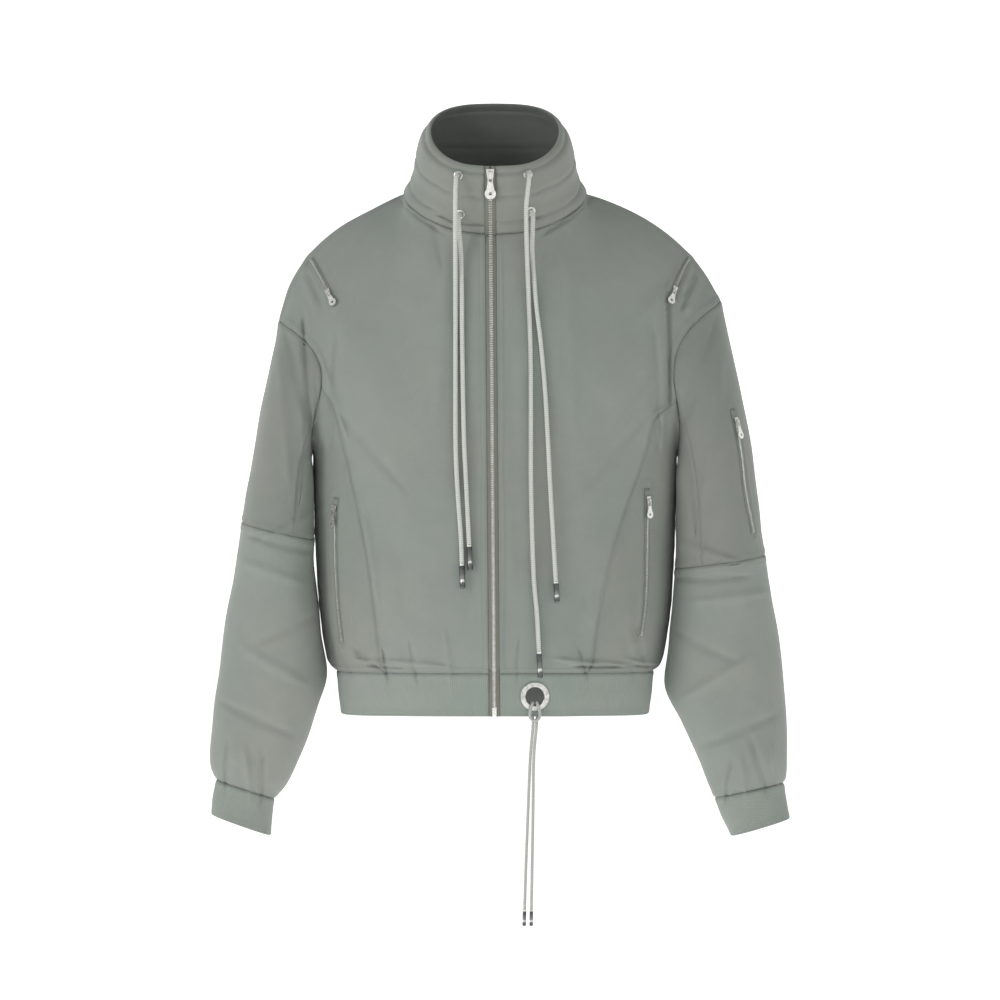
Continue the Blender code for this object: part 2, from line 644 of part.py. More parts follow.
def make_normals(halves, back):
    """Normals of all those surfaces, even across the seams where the cloth lies smooth."""
    back_normals = grid_normals(back, -1)
    normals = []
    for half in halves:
        sign = half.side.sign
        front = grid_normals(half.front, sign)
        flank = grid_normals(half.flank, sign)
        half_back = back_normals[:, QUARTER:] if sign > 0 else back_normals[:, QUARTER::-1]
        sleeve = grid_normals(half.sleeve, sign, closed=True)
        cuff = grid_normals(half.cuff, sign, closed=True)
        flank_rows = len(flank)
        join_normals(front[:flank_rows, -1], flank[:, 0])
        join_normals(flank[:ARMPIT_ROW + 1, -1], half_back[:ARMPIT_ROW + 1, -1])
        join_normals(front[-1, NECK_CELLS:], half_back[-1, NECK_CELLS:])
        for row in range(ARMPIT_ROW + 1, len(front)):
            place = len(front) - 1 - row
            edge = flank if row < flank_rows else front
            join_normals(edge[row, -1], sleeve[0, place])
            join_normals(half_back[row, -1], sleeve[0, -place])
        front[-1, -1] = half_back[-1, -1] = sleeve[0, 0]
        apex = flank_rows - 1
        shared = np.mean(flank[apex], axis=0)
        flank[apex] = front[apex, -1] = shared / np.linalg.norm(shared)
        normals.append(Half(half.side, front, flank, half_back, sleeve, cuff))
    return normals, back_normals


def face_forward(normals):
    """Turns the normals along the zip's edges straight forward, so that the tapes fit them."""
    normals[..., 0] = 0
    normals /= np.linalg.norm(normals, axis=-1, keepdims=True)


def join_bands(normals, collar_normals, band_normals):
    """Makes the collar, the hem band and the cuffs follow on from the cloth that they are sewn to."""
    left, right = normals
    join_collar(collar_normals, normals)
    hem = hem_ring(normals)
    join_normals(hem, band_normals[-1])
    columns = QUARTER + SIDE_CELLS
    for half, start, step in ((left, 0, 1), (right, len(hem) - 1, -1)):
        front_end = start + step * QUARTER
        half.front[0] = hem[[start + step * k for k in range(QUARTER + 1)]]
        half.flank[0] = hem[[front_end + step * k for k in range(SIDE_CELLS + 1)]]
        half.back[0] = hem[[start + step * (columns + QUARTER - k) for k in range(QUARTER + 1)]]
        join_normals(half.sleeve[-1], half.cuff[0])
        face_forward(half.front[:, 0])
    for grid in (collar_normals, band_normals):
        face_forward(grid[:, 0])
        face_forward(grid[:, -1])


def join_collar(collar_normals, normals):
    """Makes the collar stand evenly on the neckline where the two lie smooth."""
    left, right = normals
    quarters = ((left.front, 0, 1), (left.back, 2 * NECK_CELLS, -1),
                (right.back, 2 * NECK_CELLS, 1), (right.front, 4 * NECK_CELLS, -1))
    for grid, start, step in quarters:
        for column in range(NECK_CELLS):
            join_normals(grid[-1, column], collar_normals[0, start + step * column])
    for half, place in ((left, NECK_CELLS), (right, 3 * NECK_CELLS)):
        corners = (half.front[-1, NECK_CELLS], half.back[-1, NECK_CELLS], collar_normals[0, place])
        shared = np.mean(corners, axis=0)
        for normal in corners:
            normal[:] = shared / np.linalg.norm(shared)


def hem_ring(halves):
    """The hem seam from the zip round the wearer's left, the back and the right."""
    left, right = halves
    return np.vstack([left.front[0], left.flank[0, 1:], left.back[0, -2::-1],
                      right.back[0, 1:], right.flank[0, -2::-1], right.front[0, -2::-1]])


Surfaces = namedtuple("Surfaces", "halves back collar band zip_left zip_right")


def zip_edges(halves, normals, collar, collar_normals, band, band_normals):
    """The edges of the fronts along the zip, hem to rim, and their normals."""
    edges = []
    for half, normal, column in zip(halves, normals, (0, -1)):
        points = np.vstack([band[:-1, column], half.front[:-1, 0], collar[:, column]])
        outward = np.vstack([band_normals[:-1, column], normal.front[:-1, 0],
                             collar_normals[:, column]])
        edges.append((points, outward))
    return edges


def make_cloth():
    """Every piece of cloth. Returns the surfaces that the trimmings are set on."""
    halves, back = make_halves()
    normals, back_normals = make_normals(halves, back)
    collar = collar_grid()
    collar_normals = grid_normals(collar, 1)
    band = band_grid(hem_ring(halves))
    band_normals = grid_normals(band, 1)
    join_bands(normals, collar_normals, band_normals)
    under_start, under_end = UNDER_SLEEVE
    upper = list(range(under_end, ARM_POINTS)) + list(range(under_start + 1))
    under = list(range(under_start, under_end + 1))
    to_elbow = slice(0, ELBOW_ROW + 1)
    for half, normal in zip(halves, normals):
        name = half.side.name
        cloth_part(f"front_{name}", half.front, normal.front)
        cloth_part(f"side_panel_{name}", half.flank, normal.flank)
        cloth_part(f"upper_sleeve_{name}", half.sleeve[to_elbow, upper], normal.sleeve[to_elbow, upper])
        cloth_part(f"under_sleeve_{name}", half.sleeve[to_elbow, under], normal.sleeve[to_elbow, under])
        cloth_part(f"lower_sleeve_{name}", half.sleeve[ELBOW_ROW:], normal.sleeve[ELBOW_ROW:],
                   edges=ROW_EDGES, closed=True)
        cloth_part(f"cuff_{name}", half.cuff, normal.cuff, BAND_CLOTH, ROW_EDGES, closed=True)
    cloth_part("back", back, back_normals)
    cloth_part("collar", collar, collar_normals, COLLAR_CLOTH, gap=COLLAR_GAP)
    band_piece = cloth_part("hem_band", band, band_normals, BAND_CLOTH)
    zip_left, zip_right = zip_edges(halves, normals, collar, collar_normals, band, band_normals)
    return Surfaces(halves, back, collar, band, zip_left, zip_right), band_piece


# ---------------------------------------------------------------- setting trimmings on the cloth


def refine(grid, per_span=4):
    """The smooth surface through a grid's points."""
    rows = np.array([spline(line, per_span) for line in grid])
    return np.array([spline(line, per_span) for line in rows.transpose(1, 0, 2)]).transpose(1, 0, 2)


def surface_tree(grids):
    """A search tree over the smooth surfaces of several grids."""
    vertices, faces = [], []
    for grid in grids:
        fine = refine(grid)
        rows, columns = fine.shape[:2]
        base = len(vertices)
        vertices += [Vector(map(float, p)) for p in fine.reshape(-1, 3)]
        for row in range(rows - 1):
            for column in range(columns - 1):
                first = base + row * columns + column
                faces.append((first, first + 1, first + columns + 1, first + columns))
    return BVHTree.FromPolygons(vertices, faces)


class Cloth:
    """The outer surface of the garment, to set trimmings on."""

    def __init__(self, surfaces):
        grids = [surfaces.back, surfaces.collar, surfaces.band]
        for half in surfaces.halves:
            rings = np.concatenate([half.sleeve, half.sleeve[:, :1]], axis=1)
            grids += [half.front, half.flank, rings]
        self.tree = surface_tree(grids)

    def in_front(self, x, z):
        """The point that a level sight line from the front meets."""
        place, _, _, _ = self.tree.ray_cast(Vector((x, -0.5, z)), Vector((0, 1, 0)))
        return place

    def near(self, point, away):
        """The nearest point of the surface and its normal, turned away from a point inside."""
        place, normal, _, _ = self.tree.find_nearest(Vector(point))
        if normal.dot(place - Vector(away)) < 0:
            normal = -normal
        return place, normal


def set_matrix(origin, up, out):
    """A place on the cloth: local Y points out of it and local Z up along it."""
    out = out.normalized()
    up = (up - out * up.dot(out)).normalized()
    side = out.cross(up)
    return Matrix.Translation(origin) @ Matrix((side, out, up)).transposed().to_4x4()


def strip_grid(cloth, path, inside, width, lift):
    """Points across a strip laid along a path on the cloth, its rows, and their normals."""
    places = [cloth.near(p, inside) for p in path]
    rows, outward = [], []
    for number, (place, normal) in enumerate(places):
        before = places[max(number - 1, 0)][0]
        after = places[min(number + 1, len(places) - 1)][0]
        across = (after - before).cross(normal).normalized() * (width / 2)
        edges = [cloth.near(place + across * step, inside) for step in (-1, 1)]
        rows.append([edge[0] + edge[1] * lift for edge in edges])
        outward.append([edge[1] for edge in edges])
    return np.array(rows, float), np.array(outward, float)


def strip_part(name, cloth, path, inside, width, lift, wall, finish):
    """A flat strip that follows the cloth."""
    grid, normals = strip_grid(cloth, path, inside, width, lift + wall)
    return add_part(name, wall_mesh(name, grid, normals, wall), finish)


# ---------------------------------------------------------------- zips

SLIDER = dict(width=0.0100, length=0.0120, body=0.0024, crown_width=0.0022, crown_leg=0.0012,
              crown_reach=0.0018, crown_wall=0.0010)
SLIDER_TAPER = 0.72       # width of a slider's lower end against its upper one
SLIDER_BEVEL = 0.22       # of the slider's thickness
PIN_REACH = 0.00135       # from the slider's face to the pull's pin, and on to the crown
PULL = dict(half_width=0.0033, shoulder=0.0110, length=0.0250, ring=0.0070, hole=0.0021,
            slot_half=0.0018, slot_end=0.0100, pin=0.00075, wall=0.0015)
RING_ARC = (135, 405, 15)  # start, end in degrees and the number of points
HOLE_ARC = (0, 315, 8)
SMALL = 0.72              # size of the small sliders and pulls against the front one
SLIDER_GAP = 0.0008       # between a slider and the last tooth of its chain
RIM_TO_SLIDER = 0.0040    # from the collar's rim to the front zip's slider
BOX_LENGTH = 0.0120       # bottom piece of the front zip
BOX_RISE = 0.0008         # how far it stands above the chain


def box_mesh(shaped, low, high):
    """Adds a box between two corners."""
    made = bmesh.ops.create_cube(shaped, size=1)["verts"]
    low, high = Vector(low), Vector(high)
    for vertex in made:
        vertex.co = (low + high) / 2 + Vector(c * s for c, s in zip(vertex.co, high - low))
    return made


def slider_mesh(name, size):
    """A slider: a tapered block with a crown that the pull hangs in. Local Z points up the zip."""
    width, length, body = SLIDER["width"] * size, SLIDER["length"] * size, SLIDER["body"] * size
    shaped = bmesh.new()
    for vertex in box_mesh(shaped, (-width / 2, 0, -length / 2), (width / 2, body, length / 2)):
        if vertex.co.z < 0:
            vertex.co.x *= SLIDER_TAPER
    bmesh.ops.bevel(shaped, geom=shaped.edges[:], offset=body * SLIDER_BEVEL, segments=2,
                    affect="EDGES")
    block = bpy.data.meshes.new(name)
    shaped.to_mesh(block)
    shaped.free()
    crown = crown_object(name + "_crown", size)
    base = bpy.data.objects.new(name + "_block", block)
    collection(CUTTERS).objects.link(base)
    join = base.modifiers.new("crown", "BOOLEAN")
    join.operation = "UNION"
    join.object = crown
    evaluated = base.evaluated_get(bpy.context.evaluated_depsgraph_get())
    mesh = bpy.data.meshes.new_from_object(evaluated)
    bpy.data.objects.remove(base)
    bpy.data.objects.remove(crown)
    mesh.shade_smooth()
    mesh.set_sharp_from_angle(angle=math.radians(35))
    return mesh


def crown_object(name, size):
    """The bridge over a slider's face, as the outline of a staple drawn across."""
    reach, leg = SLIDER["crown_reach"] * size, SLIDER["crown_leg"] * size
    face = SLIDER["body"] * size
    ceiling = face + 2 * PIN_REACH * size
    top = ceiling + SLIDER["crown_wall"] * size
    foot = face - leg / 2
    outline = [(reach, foot), (reach, ceiling), (-reach, ceiling), (-reach, foot),
               (-reach - leg, foot), (-reach - leg, ceiling), (-reach, top),
               (reach, top), (reach + leg, ceiling), (reach + leg, foot)]
    shaped = bmesh.new()
    half = SLIDER["crown_width"] * size / 2
    loop = [shaped.verts.new((-half, y, z)) for z, y in outline]
    drawn = bmesh.ops.extrude_face_region(shaped, geom=[shaped.faces.new(loop)])["geom"]
    moved = [part for part in drawn if isinstance(part, bmesh.types.BMVert)]
    bmesh.ops.translate(shaped, verts=moved, vec=(2 * half, 0, 0))
    bmesh.ops.recalc_face_normals(shaped, faces=shaped.faces)
    mesh = bpy.data.meshes.new(name)
    shaped.to_mesh(mesh)
    shaped.free()
    crown = bpy.data.objects.new(name, mesh)
    crown.hide_render = True
    crown.display_type = "WIRE"
    collection(CUTTERS).objects.link(crown)
    return crown


def arc(radius, centre_y, start, end, count):
    """Points on an arc in a flat outline, angles in degrees."""
    angles = np.radians(np.linspace(start, end, count))
    return [(radius * math.cos(a), centre_y + radius * math.sin(a)) for a in angles]


def pull_curve(name, size):
    """A pull tab: a slotted tongue that widens to a ring. Local Y points up, the pin at 0."""
    ring_y = -PULL["length"]
    half, shoulder = PULL["half_width"], -PULL["shoulder"]
    outline = [(half, shoulder), (half, PULL["pin"]), (-half, PULL["pin"]), (-half, shoulder)]
    outline += arc(PULL["ring"], ring_y, *RING_ARC)
    slot = [(PULL["slot_half"], -PULL["pin"]), (-PULL["slot_half"], -PULL["pin"]),
            (-PULL["slot_half"], -PULL["slot_end"]), (PULL["slot_half"], -PULL["slot_end"])]
    hole = arc(PULL["hole"], ring_y, *HOLE_ARC)
    curve = bpy.data.curves.new(name, "CURVE")
    curve.dimensions = "2D"
    curve.fill_mode = "BOTH"
    curve.extrude = PULL["wall"] * size / 2
    for loop in (outline, slot, hole):
        line = curve.splines.new("POLY")
        line.points.add(len(loop) - 1)
        for point, (x, y) in zip(line.points, loop):
            point.co = (x * size, y * size, 0, 1)
        line.use_cyclic_u = True
    return curve


def add_slider(name, seat, size):
    """A slider with its pull tab hanging in its crown, on a matrix set on the zip."""
    add_part(f"{name}_slider", slider_mesh(f"{name}_slider", size), "bright_metal", seat)
    pin = Matrix.Translation((0, (SLIDER["body"] + PIN_REACH) * size, 0))
    upright = Matrix.Rotation(math.radians(90), 4, "X")
    add_part(f"{name}_pull", pull_curve(f"{name}_pull", size), "bright_metal", seat @ pin @ upright)


# Small zips: the points that the zip runs along, top end first, the share of it above the
# slider, and a point inside the garment to tell the outside from.
SmallZip = namedtuple("SmallZip", "name path slider_at inside")
TAPE_WIDTH = 0.0090
TAPE_STEPS = 12
SEAT_SHARE = 0.02         # share of a small zip each side of its slider that gives its direction
CHAIN_ENDS = (0.015, 0.985)  # shares of a small zip between which its chain lies
SMALL_CHAIN_WIDTH = 2 * CHAIN_HALF * 0.8
SMALL_CHAIN_WALL = CHAIN_WALL * 0.6


def small_zip(cloth, zip_row):
    """Tape, tooth chain, slider and pull of a short zip."""
    path = spread(spline(zip_row.path), np.linspace(0, 1, TAPE_STEPS + 1))
    strip_part(f"{zip_row.name}_tape", cloth, path, zip_row.inside, TAPE_WIDTH, LIFT, TAPE_WALL,
               "zip_tape")
    seat_point = spread(path, [zip_row.slider_at])[0]
    after = spread(path, [min(1, zip_row.slider_at + SEAT_SHARE)])[0]
    before = spread(path, [max(0, zip_row.slider_at - SEAT_SHARE)])[0]
    place, out = cloth.near(seat_point, zip_row.inside)
    up = Vector(before - after)
    lift = LIFT + TAPE_WALL + SEAM_GAP
    seat = set_matrix(place + out * lift, up, out)
    add_slider(zip_row.name, seat, SMALL)
    length = np.sum(np.linalg.norm(np.diff(path, axis=0), axis=1))
    half_slider = (SLIDER["length"] * SMALL / 2 + SLIDER_GAP) / length
    above, below = zip_row.slider_at - half_slider, zip_row.slider_at + half_slider
    first, last = CHAIN_ENDS
    start, end = (below, last) if above < 1 - below else (first, above)
    chain = spread(path, np.linspace(start, end, TAPE_STEPS + 1))
    strip_part(f"{zip_row.name}_chain", cloth, chain, zip_row.inside, SMALL_CHAIN_WIDTH, lift,
               SMALL_CHAIN_WALL, "bright_metal")


def strip_between(name, points, normals, offsets, lift, wall, finish):
    """A strip along the zip line: each row holds the given offsets from the line."""
    rows = []
    for point, normal in zip(points, normals):
        centre = zip_x(point[2])
        y, z = point[1:] + normal[1:] * lift
        rows.append([(centre + offset, y, z) for offset in offsets])
    grid = np.array(rows)
    outward = np.repeat(normals[:, None], len(offsets), axis=1)
    return add_part(name, wall_mesh(name, inset(grid, ROW_EDGES), outward, wall), finish)


def front_zip(surfaces):
    """The front zip from the hem to the collar's rim."""
    outer, inner = ZIP_HALF - SEAM_GAP / 2, CHAIN_HALF + SEAM_GAP
    line, outward = (np.mean(pair, axis=0) for pair in zip(surfaces.zip_left, surfaces.zip_right))
    outward[:, 0] = 0
    outward /= np.linalg.norm(outward, axis=1, keepdims=True)
    for name, sign, (points, _) in (("left", 1, surfaces.zip_left), ("right", -1, surfaces.zip_right)):
        offsets = (sign * inner, sign * outer)
        strip_between(f"front_zip_tape_{name}", points, outward, offsets, -LIFT, TAPE_WALL, "zip_tape")
    length_up = shares(line)
    total = np.sum(np.linalg.norm(np.diff(line, axis=0), axis=1))
    slider_top = 1 - RIM_TO_SLIDER / total
    slider_bottom = slider_top - (SLIDER["length"] + SEAM_GAP) / total
    box_top = BOX_LENGTH / total
    fine = np.unique(np.concatenate([length_up, [slider_bottom, box_top + SEAM_GAP / total]]))
    keep = fine[(fine >= box_top) & (fine <= slider_bottom)]
    lift = CHAIN_WALL / 2
    chain, chain_out = spread(line, keep), spread_normals(line, outward, keep)
    strip_between("front_zip_chain", chain, chain_out, (-CHAIN_HALF, CHAIN_HALF), lift, CHAIN_WALL,
                  "bright_metal")
    box_line = np.linspace(0, box_top, 3)
    box, box_out = spread(line, box_line), spread_normals(line, outward, box_line)
    strip_between("front_zip_box", box, box_out, (-CHAIN_HALF, CHAIN_HALF), lift + BOX_RISE,
                  CHAIN_WALL + BOX_RISE, "bright_metal")
    middle = (slider_top + slider_bottom) / 2
    place = Vector(spread(line, [middle])[0])
    out = Vector(spread_normals(line, outward, [middle])[0])
    up = Vector(spread(line, [slider_top])[0] - spread(line, [slider_bottom])[0])
    place.x = zip_x(place.z)
    add_slider("front_zip", set_matrix(place + out * SEAM_GAP, up, out), 1.0)


def spread_normals(line, normals, wanted):
    """Normals at the wanted shares of a line."""
    run = shares(line)
    found = np.stack([np.interp(wanted, run, normals[:, k]) for k in range(3)], axis=1)
    return found / np.linalg.norm(found, axis=1, keepdims=True)


SMALL_ZIPS = [
    SmallZip("pocket_left", [(0.1950, -0.09, -0.338), (0.1965, -0.09, -0.440),
                             (0.1960, -0.09, -0.481), (0.1900, -0.09, -0.525)], 0.075, (0, 0, -0.4)),
    SmallZip("pocket_right", [(-0.2010, -0.08, -0.350), (-0.2080, -0.08, -0.400),
                              (-0.2090, -0.08, -0.470), (-0.2040, -0.08, -0.532)], 0.075, (0, 0, -0.4)),
    SmallZip("shoulder_left", [(0.2440, -0.006, -0.054), (0.2400, -0.022, -0.062),
                               (0.2320, -0.042, -0.078), (0.2235, -0.056, -0.098)], 0.84, (0, 0, -0.2)),
    SmallZip("shoulder_right", [(-0.2320, -0.006, -0.054), (-0.2260, -0.024, -0.066),
                                (-0.2160, -0.044, -0.084), (-0.2050, -0.060, -0.104)], 0.80,
             (0, 0, -0.2)),
    SmallZip("sleeve_zip", [(0.2965, -0.06, -0.240), (0.3020, -0.06, -0.290),
                            (0.3060, -0.06, -0.340), (0.3110, -0.05, -0.396)], 0.10,
             (0.275, 0, -0.32)),
]


# ---------------------------------------------------------------- eyelets, cords and tips

# Eyelets of the collar: where each shows from the front. The large one sits in the hem band.
Eyelet = namedtuple("Eyelet", "name x z")
EYELETS = [
    Eyelet("upper_left", 0.0409, 0.0525),
    Eyelet("upper_right", -0.0453, 0.0513),
    Eyelet("lower_left", 0.0446, 0.0069),
    Eyelet("lower_right", -0.0428, 0.0031),
]
EYELET_HOLE = 0.00305
EYELET_RIM = 0.0058
EYELET_WALL = 0.0012
EYELET_STEPS = 18
HEM_EYELET = Eyelet("hem", 0.0495, -0.5942)
HEM_HOLE = 0.0118
HEM_RIM = 0.0179
HEM_BACK_RIM = 0.0155
HEM_TUBE_WALL = 0.0007
HEM_RIM_RISE = 0.0013
HEM_BACK_WALL = 0.0009
HEM_EYELET_LIFT = 0.0006  # the flat rim against the rounded band
HEM_STEPS = 28

COLLAR_CORD = 0.0055      # diameters of the cords
HEM_CORD = 0.0038
CORD_SIDES = 2            # bevel resolution

# Free cords: diameter, points to each span of the route, and the points that the middle of the
# cord runs through, from where it leaves the garment.
Cord = namedtuple("Cord", "diameter points route")
CORDS = {
    "cord_upper_right": Cord(COLLAR_CORD, 3, [
        (-0.0457, -0.0967, 0.0514), (-0.0467, -0.1003, 0.0518), (-0.0480, -0.1055, 0.0490),
        (-0.0486, -0.1085, 0.0408), (-0.0489, -0.1098, 0.0307), (-0.0492, -0.1105, 0.0037),
        (-0.0491, -0.1118, -0.0457), (-0.0490, -0.1143, -0.0934), (-0.0489, -0.1197, -0.1397),
        (-0.0489, -0.1293, -0.2038), (-0.0488, -0.1363, -0.2755), (-0.0470, -0.1395, -0.3250),
        (-0.0420, -0.1430, -0.3992), (-0.0410, -0.1442, -0.4277)]),
    "cord_lower_right": Cord(COLLAR_CORD, 3, [
        (-0.0432, -0.0900, 0.0028), (-0.0444, -0.0936, 0.0020), (-0.0451, -0.0984, -0.0010),
        (-0.0448, -0.1012, -0.0090), (-0.0440, -0.1020, -0.0210), (-0.0421, -0.1038, -0.0455),
        (-0.0410, -0.1133, -0.0934), (-0.0408, -0.1198, -0.1397), (-0.0398, -0.1298, -0.2038),
        (-0.0383, -0.1366, -0.2755), (-0.0359, -0.1398, -0.3251), (-0.0321, -0.1438, -0.4043)]),
    "cord_upper_left": Cord(COLLAR_CORD, 3, [
        (0.0412, -0.0980, 0.0528), (0.0420, -0.1015, 0.0535), (0.0424, -0.1069, 0.0512),
        (0.0417, -0.1096, 0.0429), (0.0405, -0.1107, 0.0317), (0.0386, -0.1112, 0.0075),
        (0.0396, -0.1123, -0.0457), (0.0414, -0.1148, -0.0934), (0.0438, -0.1229, -0.1569),
        (0.0445, -0.1301, -0.2089), (0.0445, -0.1365, -0.2755), (0.0445, -0.1398, -0.3251),
        (0.0460, -0.1430, -0.3942), (0.0482, -0.1447, -0.4487), (0.0519, -0.1447, -0.4908),
        (0.0544, -0.1425, -0.5366)]),
    "cord_lower_left": Cord(COLLAR_CORD, 3, [
        (0.0450, -0.0902, 0.0066), (0.0462, -0.0937, 0.0058), (0.0472, -0.0984, 0.0026),
        (0.0471, -0.1011, -0.0050), (0.0468, -0.1020, -0.0180), (0.0464, -0.1038, -0.0455),
        (0.0508, -0.1148, -0.1049), (0.0569, -0.1218, -0.1569), (0.0620, -0.1293, -0.2138),
        (0.0655, -0.1353, -0.2755), (0.0680, -0.1385, -0.3250), (0.0720, -0.1420, -0.3942),
        (0.0754, -0.1435, -0.4501)]),
    "cord_hem_bight": Cord(HEM_CORD, 2, [
        (0.0455, -0.1172, -0.6127), (0.0459, -0.1172, -0.6067), (0.0465, -0.1190, -0.6027),
        (0.0469, -0.1227, -0.6023), (0.0463, -0.1268, -0.6035), (0.0443, -0.1283, -0.6097),
        (0.0433, -0.1286, -0.6162), (0.0445, -0.1290, -0.6215), (0.0495, -0.1294, -0.6240),
        (0.0545, -0.1288, -0.6215), (0.0557, -0.1281, -0.6162), (0.0547, -0.1278, -0.6097),
        (0.0527, -0.1263, -0.6035), (0.0521, -0.1222, -0.6023), (0.0525, -0.1185, -0.6027),
        (0.0531, -0.1167, -0.6067), (0.0535, -0.1167, -0.6127)]),
    "cord_hem_right": Cord(HEM_CORD, 2, [
        (0.0455, -0.1172, -0.6131), (0.0459, -0.1172, -0.6177), (0.0468, -0.1190, -0.6223),
        (0.0473, -0.1218, -0.6239), (0.0473, -0.1243, -0.6267), (0.0470, -0.1250, -0.6337),
        (0.0437, -0.1252, -0.6722), (0.0408, -0.1250, -0.7437), (0.0385, -0.1250, -0.8037),
        (0.0368, -0.1250, -0.8597)]),
    "cord_hem_left": Cord(HEM_CORD, 2, [
        (0.0535, -0.1167, -0.6131), (0.0531, -0.1167, -0.6177), (0.0522, -0.1185, -0.6223),
        (0.0517, -0.1213, -0.6239), (0.0517, -0.1240, -0.6267), (0.0514, -0.1250, -0.6337),
        (0.0482, -0.1252, -0.6722), (0.0472, -0.1250, -0.7437), (0.0462, -0.1250, -0.8037),
        (0.0453, -0.1250, -0.8597)]),
}

# Metal ends of the cords, each a crimped sleeve with a rounded end.
Tip = namedtuple("Tip", "cord radius length")
TIPS = {
    "tip_upper_right": Tip("cord_upper_right", 0.0033, 0.0310),
    "tip_lower_right": Tip("cord_lower_right", 0.0033, 0.0320),
    "tip_upper_left": Tip("cord_upper_left", 0.0033, 0.0340),
    "tip_lower_left": Tip("cord_lower_left", 0.0033, 0.0260),
    "tip_hem_right": Tip("cord_hem_right", 0.0023, 0.0200),
    "tip_hem_left": Tip("cord_hem_left", 0.0023, 0.0200),
}
TIP_STEPS = 10


def turned_part(name, profile, steps, finish, matrix, closed):
    """A piece turned from a profile of radii and heights. Its axis is the seat's outward one."""
    vertices = [(radius, 0, height) for radius, height in profile]
    edges = [(k, k + 1) for k in range(len(profile) - 1)]
    if closed:
        edges.append((len(profile) - 1, 0))
    mesh = bpy.data.meshes.new(name)
    mesh.from_pydata(vertices, edges, [])
    piece = add_part(name, mesh, finish, matrix @ Matrix.Rotation(math.radians(-90), 4, "X"))
    screw = piece.modifiers.new("turn", "SCREW")
    screw.steps = steps
    screw.render_steps = steps
    screw.use_merge_vertices = True
    screw.merge_threshold = 0.00001
    screw.use_smooth_shade = True
    return piece


def add_eyelets(cloth):
    """The four small eyelets of the collar, each a flat ring with a rounded face."""
    hole, rim, wall = EYELET_HOLE, EYELET_RIM, EYELET_WALL
    middle = (hole + rim) / 2
    profile = [(hole, wall * 0.6), (middle, wall), (rim - wall / 2, wall * 0.8), (rim, 0.3 * wall),
               (rim, 0), (hole, 0)]
    for eyelet in EYELETS:
        place = cloth.in_front(eyelet.x, eyelet.z)
        place, out = cloth.near(place, (0, 0, place.z))
        seat = set_matrix(place + out * SEAM_GAP, Vector((0, 0, 1)), out)
        turned_part(f"eyelet_{eyelet.name}", profile, EYELET_STEPS, "bright_metal", seat, closed=True)


def hem_seat(cloth):
    """Where the large eyelet sits on the hem band."""
    place = cloth.in_front(HEM_EYELET.x, HEM_EYELET.z)
    place, out = cloth.near(place, (0, 0, place.z))
    return set_matrix(place, Vector((0, 0, 1)), out)


def add_hem_eyelet(cloth, band):
    """The large eyelet: a rim on both faces of the band, joined by a tube through its hole."""
    seat = hem_seat(cloth)
    front, back = HEM_EYELET_LIFT, -BAND_CLOTH - HEM_EYELET_LIFT
    tube = HEM_HOLE + HEM_TUBE_WALL
    middle = (HEM_HOLE + HEM_RIM) / 2
    top = front + HEM_RIM_RISE
    profile = [(middle, top), (HEM_RIM - HEM_RIM_RISE * 0.6, top * 0.9),
               (HEM_RIM, front + HEM_RIM_RISE * 0.3), (HEM_RIM, front), (tube, front), (tube, back),
               (HEM_BACK_RIM, back), (HEM_BACK_RIM, back - HEM_BACK_WALL * 0.6),
               (HEM_BACK_RIM - HEM_BACK_WALL / 2, back - HEM_BACK_WALL),
               (HEM_HOLE + HEM_BACK_WALL / 2, back - HEM_BACK_WALL),
               (HEM_HOLE, back - HEM_BACK_WALL * 0.4), (HEM_HOLE, front + HEM_RIM_RISE * 0.5),
               (HEM_HOLE + HEM_RIM_RISE * 0.6, top * 0.9)]
    turned_part("eyelet_hem", profile, HEM_STEPS, "bright_metal", seat, closed=True)
    cut_hole(band, seat, tube + SEAM_GAP)


def cut_hole(piece, seat, radius):
    """Cuts a round hole through a piece along the outward axis of a seat."""
    shaped = bmesh.new()
    bmesh.ops.create_cone(shaped, cap_ends=True, segments=HEM_STEPS, radius1=radius, radius2=radius,
                          depth=6 * BAND_CLOTH)
    mesh = bpy.data.meshes.new("hem_hole")
    shaped.to_mesh(mesh)
    shaped.free()
    cutter = bpy.data.objects.new("hem_hole", mesh)
    cutter.matrix_world = seat @ Matrix.Rotation(math.radians(-90), 4, "X")
    cutter.hide_render = True
    cutter.display_type = "WIRE"
    collection(CUTTERS).objects.link(cutter)
    cut = piece.modifiers.new("hole", "BOOLEAN")
    cut.operation = "DIFFERENCE"
    cut.object = cutter


def add_cords():
    """The free cords, each a round tube along a smooth curve through its route."""
    for name, cord in CORDS.items():
        points = spline(cord.route, cord.points)
        curve = bpy.data.curves.new(name, "CURVE")
        curve.dimensions = "3D"
        curve.bevel_depth = cord.diameter / 2
        curve.bevel_resolution = CORD_SIDES
        curve.use_fill_caps = True
        line = curve.splines.new("POLY")
        line.points.add(len(points) - 1)
        for point, place in zip(line.points, points):
            point.co = (*map(float, place), 1)
        add_part(name, curve, "pale_cord")


def add_tips():
    """The metal ends of the cords."""
    for name, tip in TIPS.items():
        points = spline(CORDS[tip.cord].route, CORDS[tip.cord].points)
        end = Vector(points[-1])
        onward = (end - Vector(points[-2])).normalized()
        seat = set_matrix(end + onward * SEAM_GAP, Vector((0, 1, 0)), onward)
        radius, length = tip.radius, tip.length
        profile = [(0, length), (radius * 0.6, length - radius * 0.15), (radius, length - radius * 0.6),
                   (radius, length * 0.74), (radius * 0.86, length * 0.72),
                   (radius * 0.86, length * 0.66), (radius, length * 0.64), (radius, 0), (0, 0)]
        turned_part(name, profile, TIP_STEPS, "dark_metal", seat, closed=False)


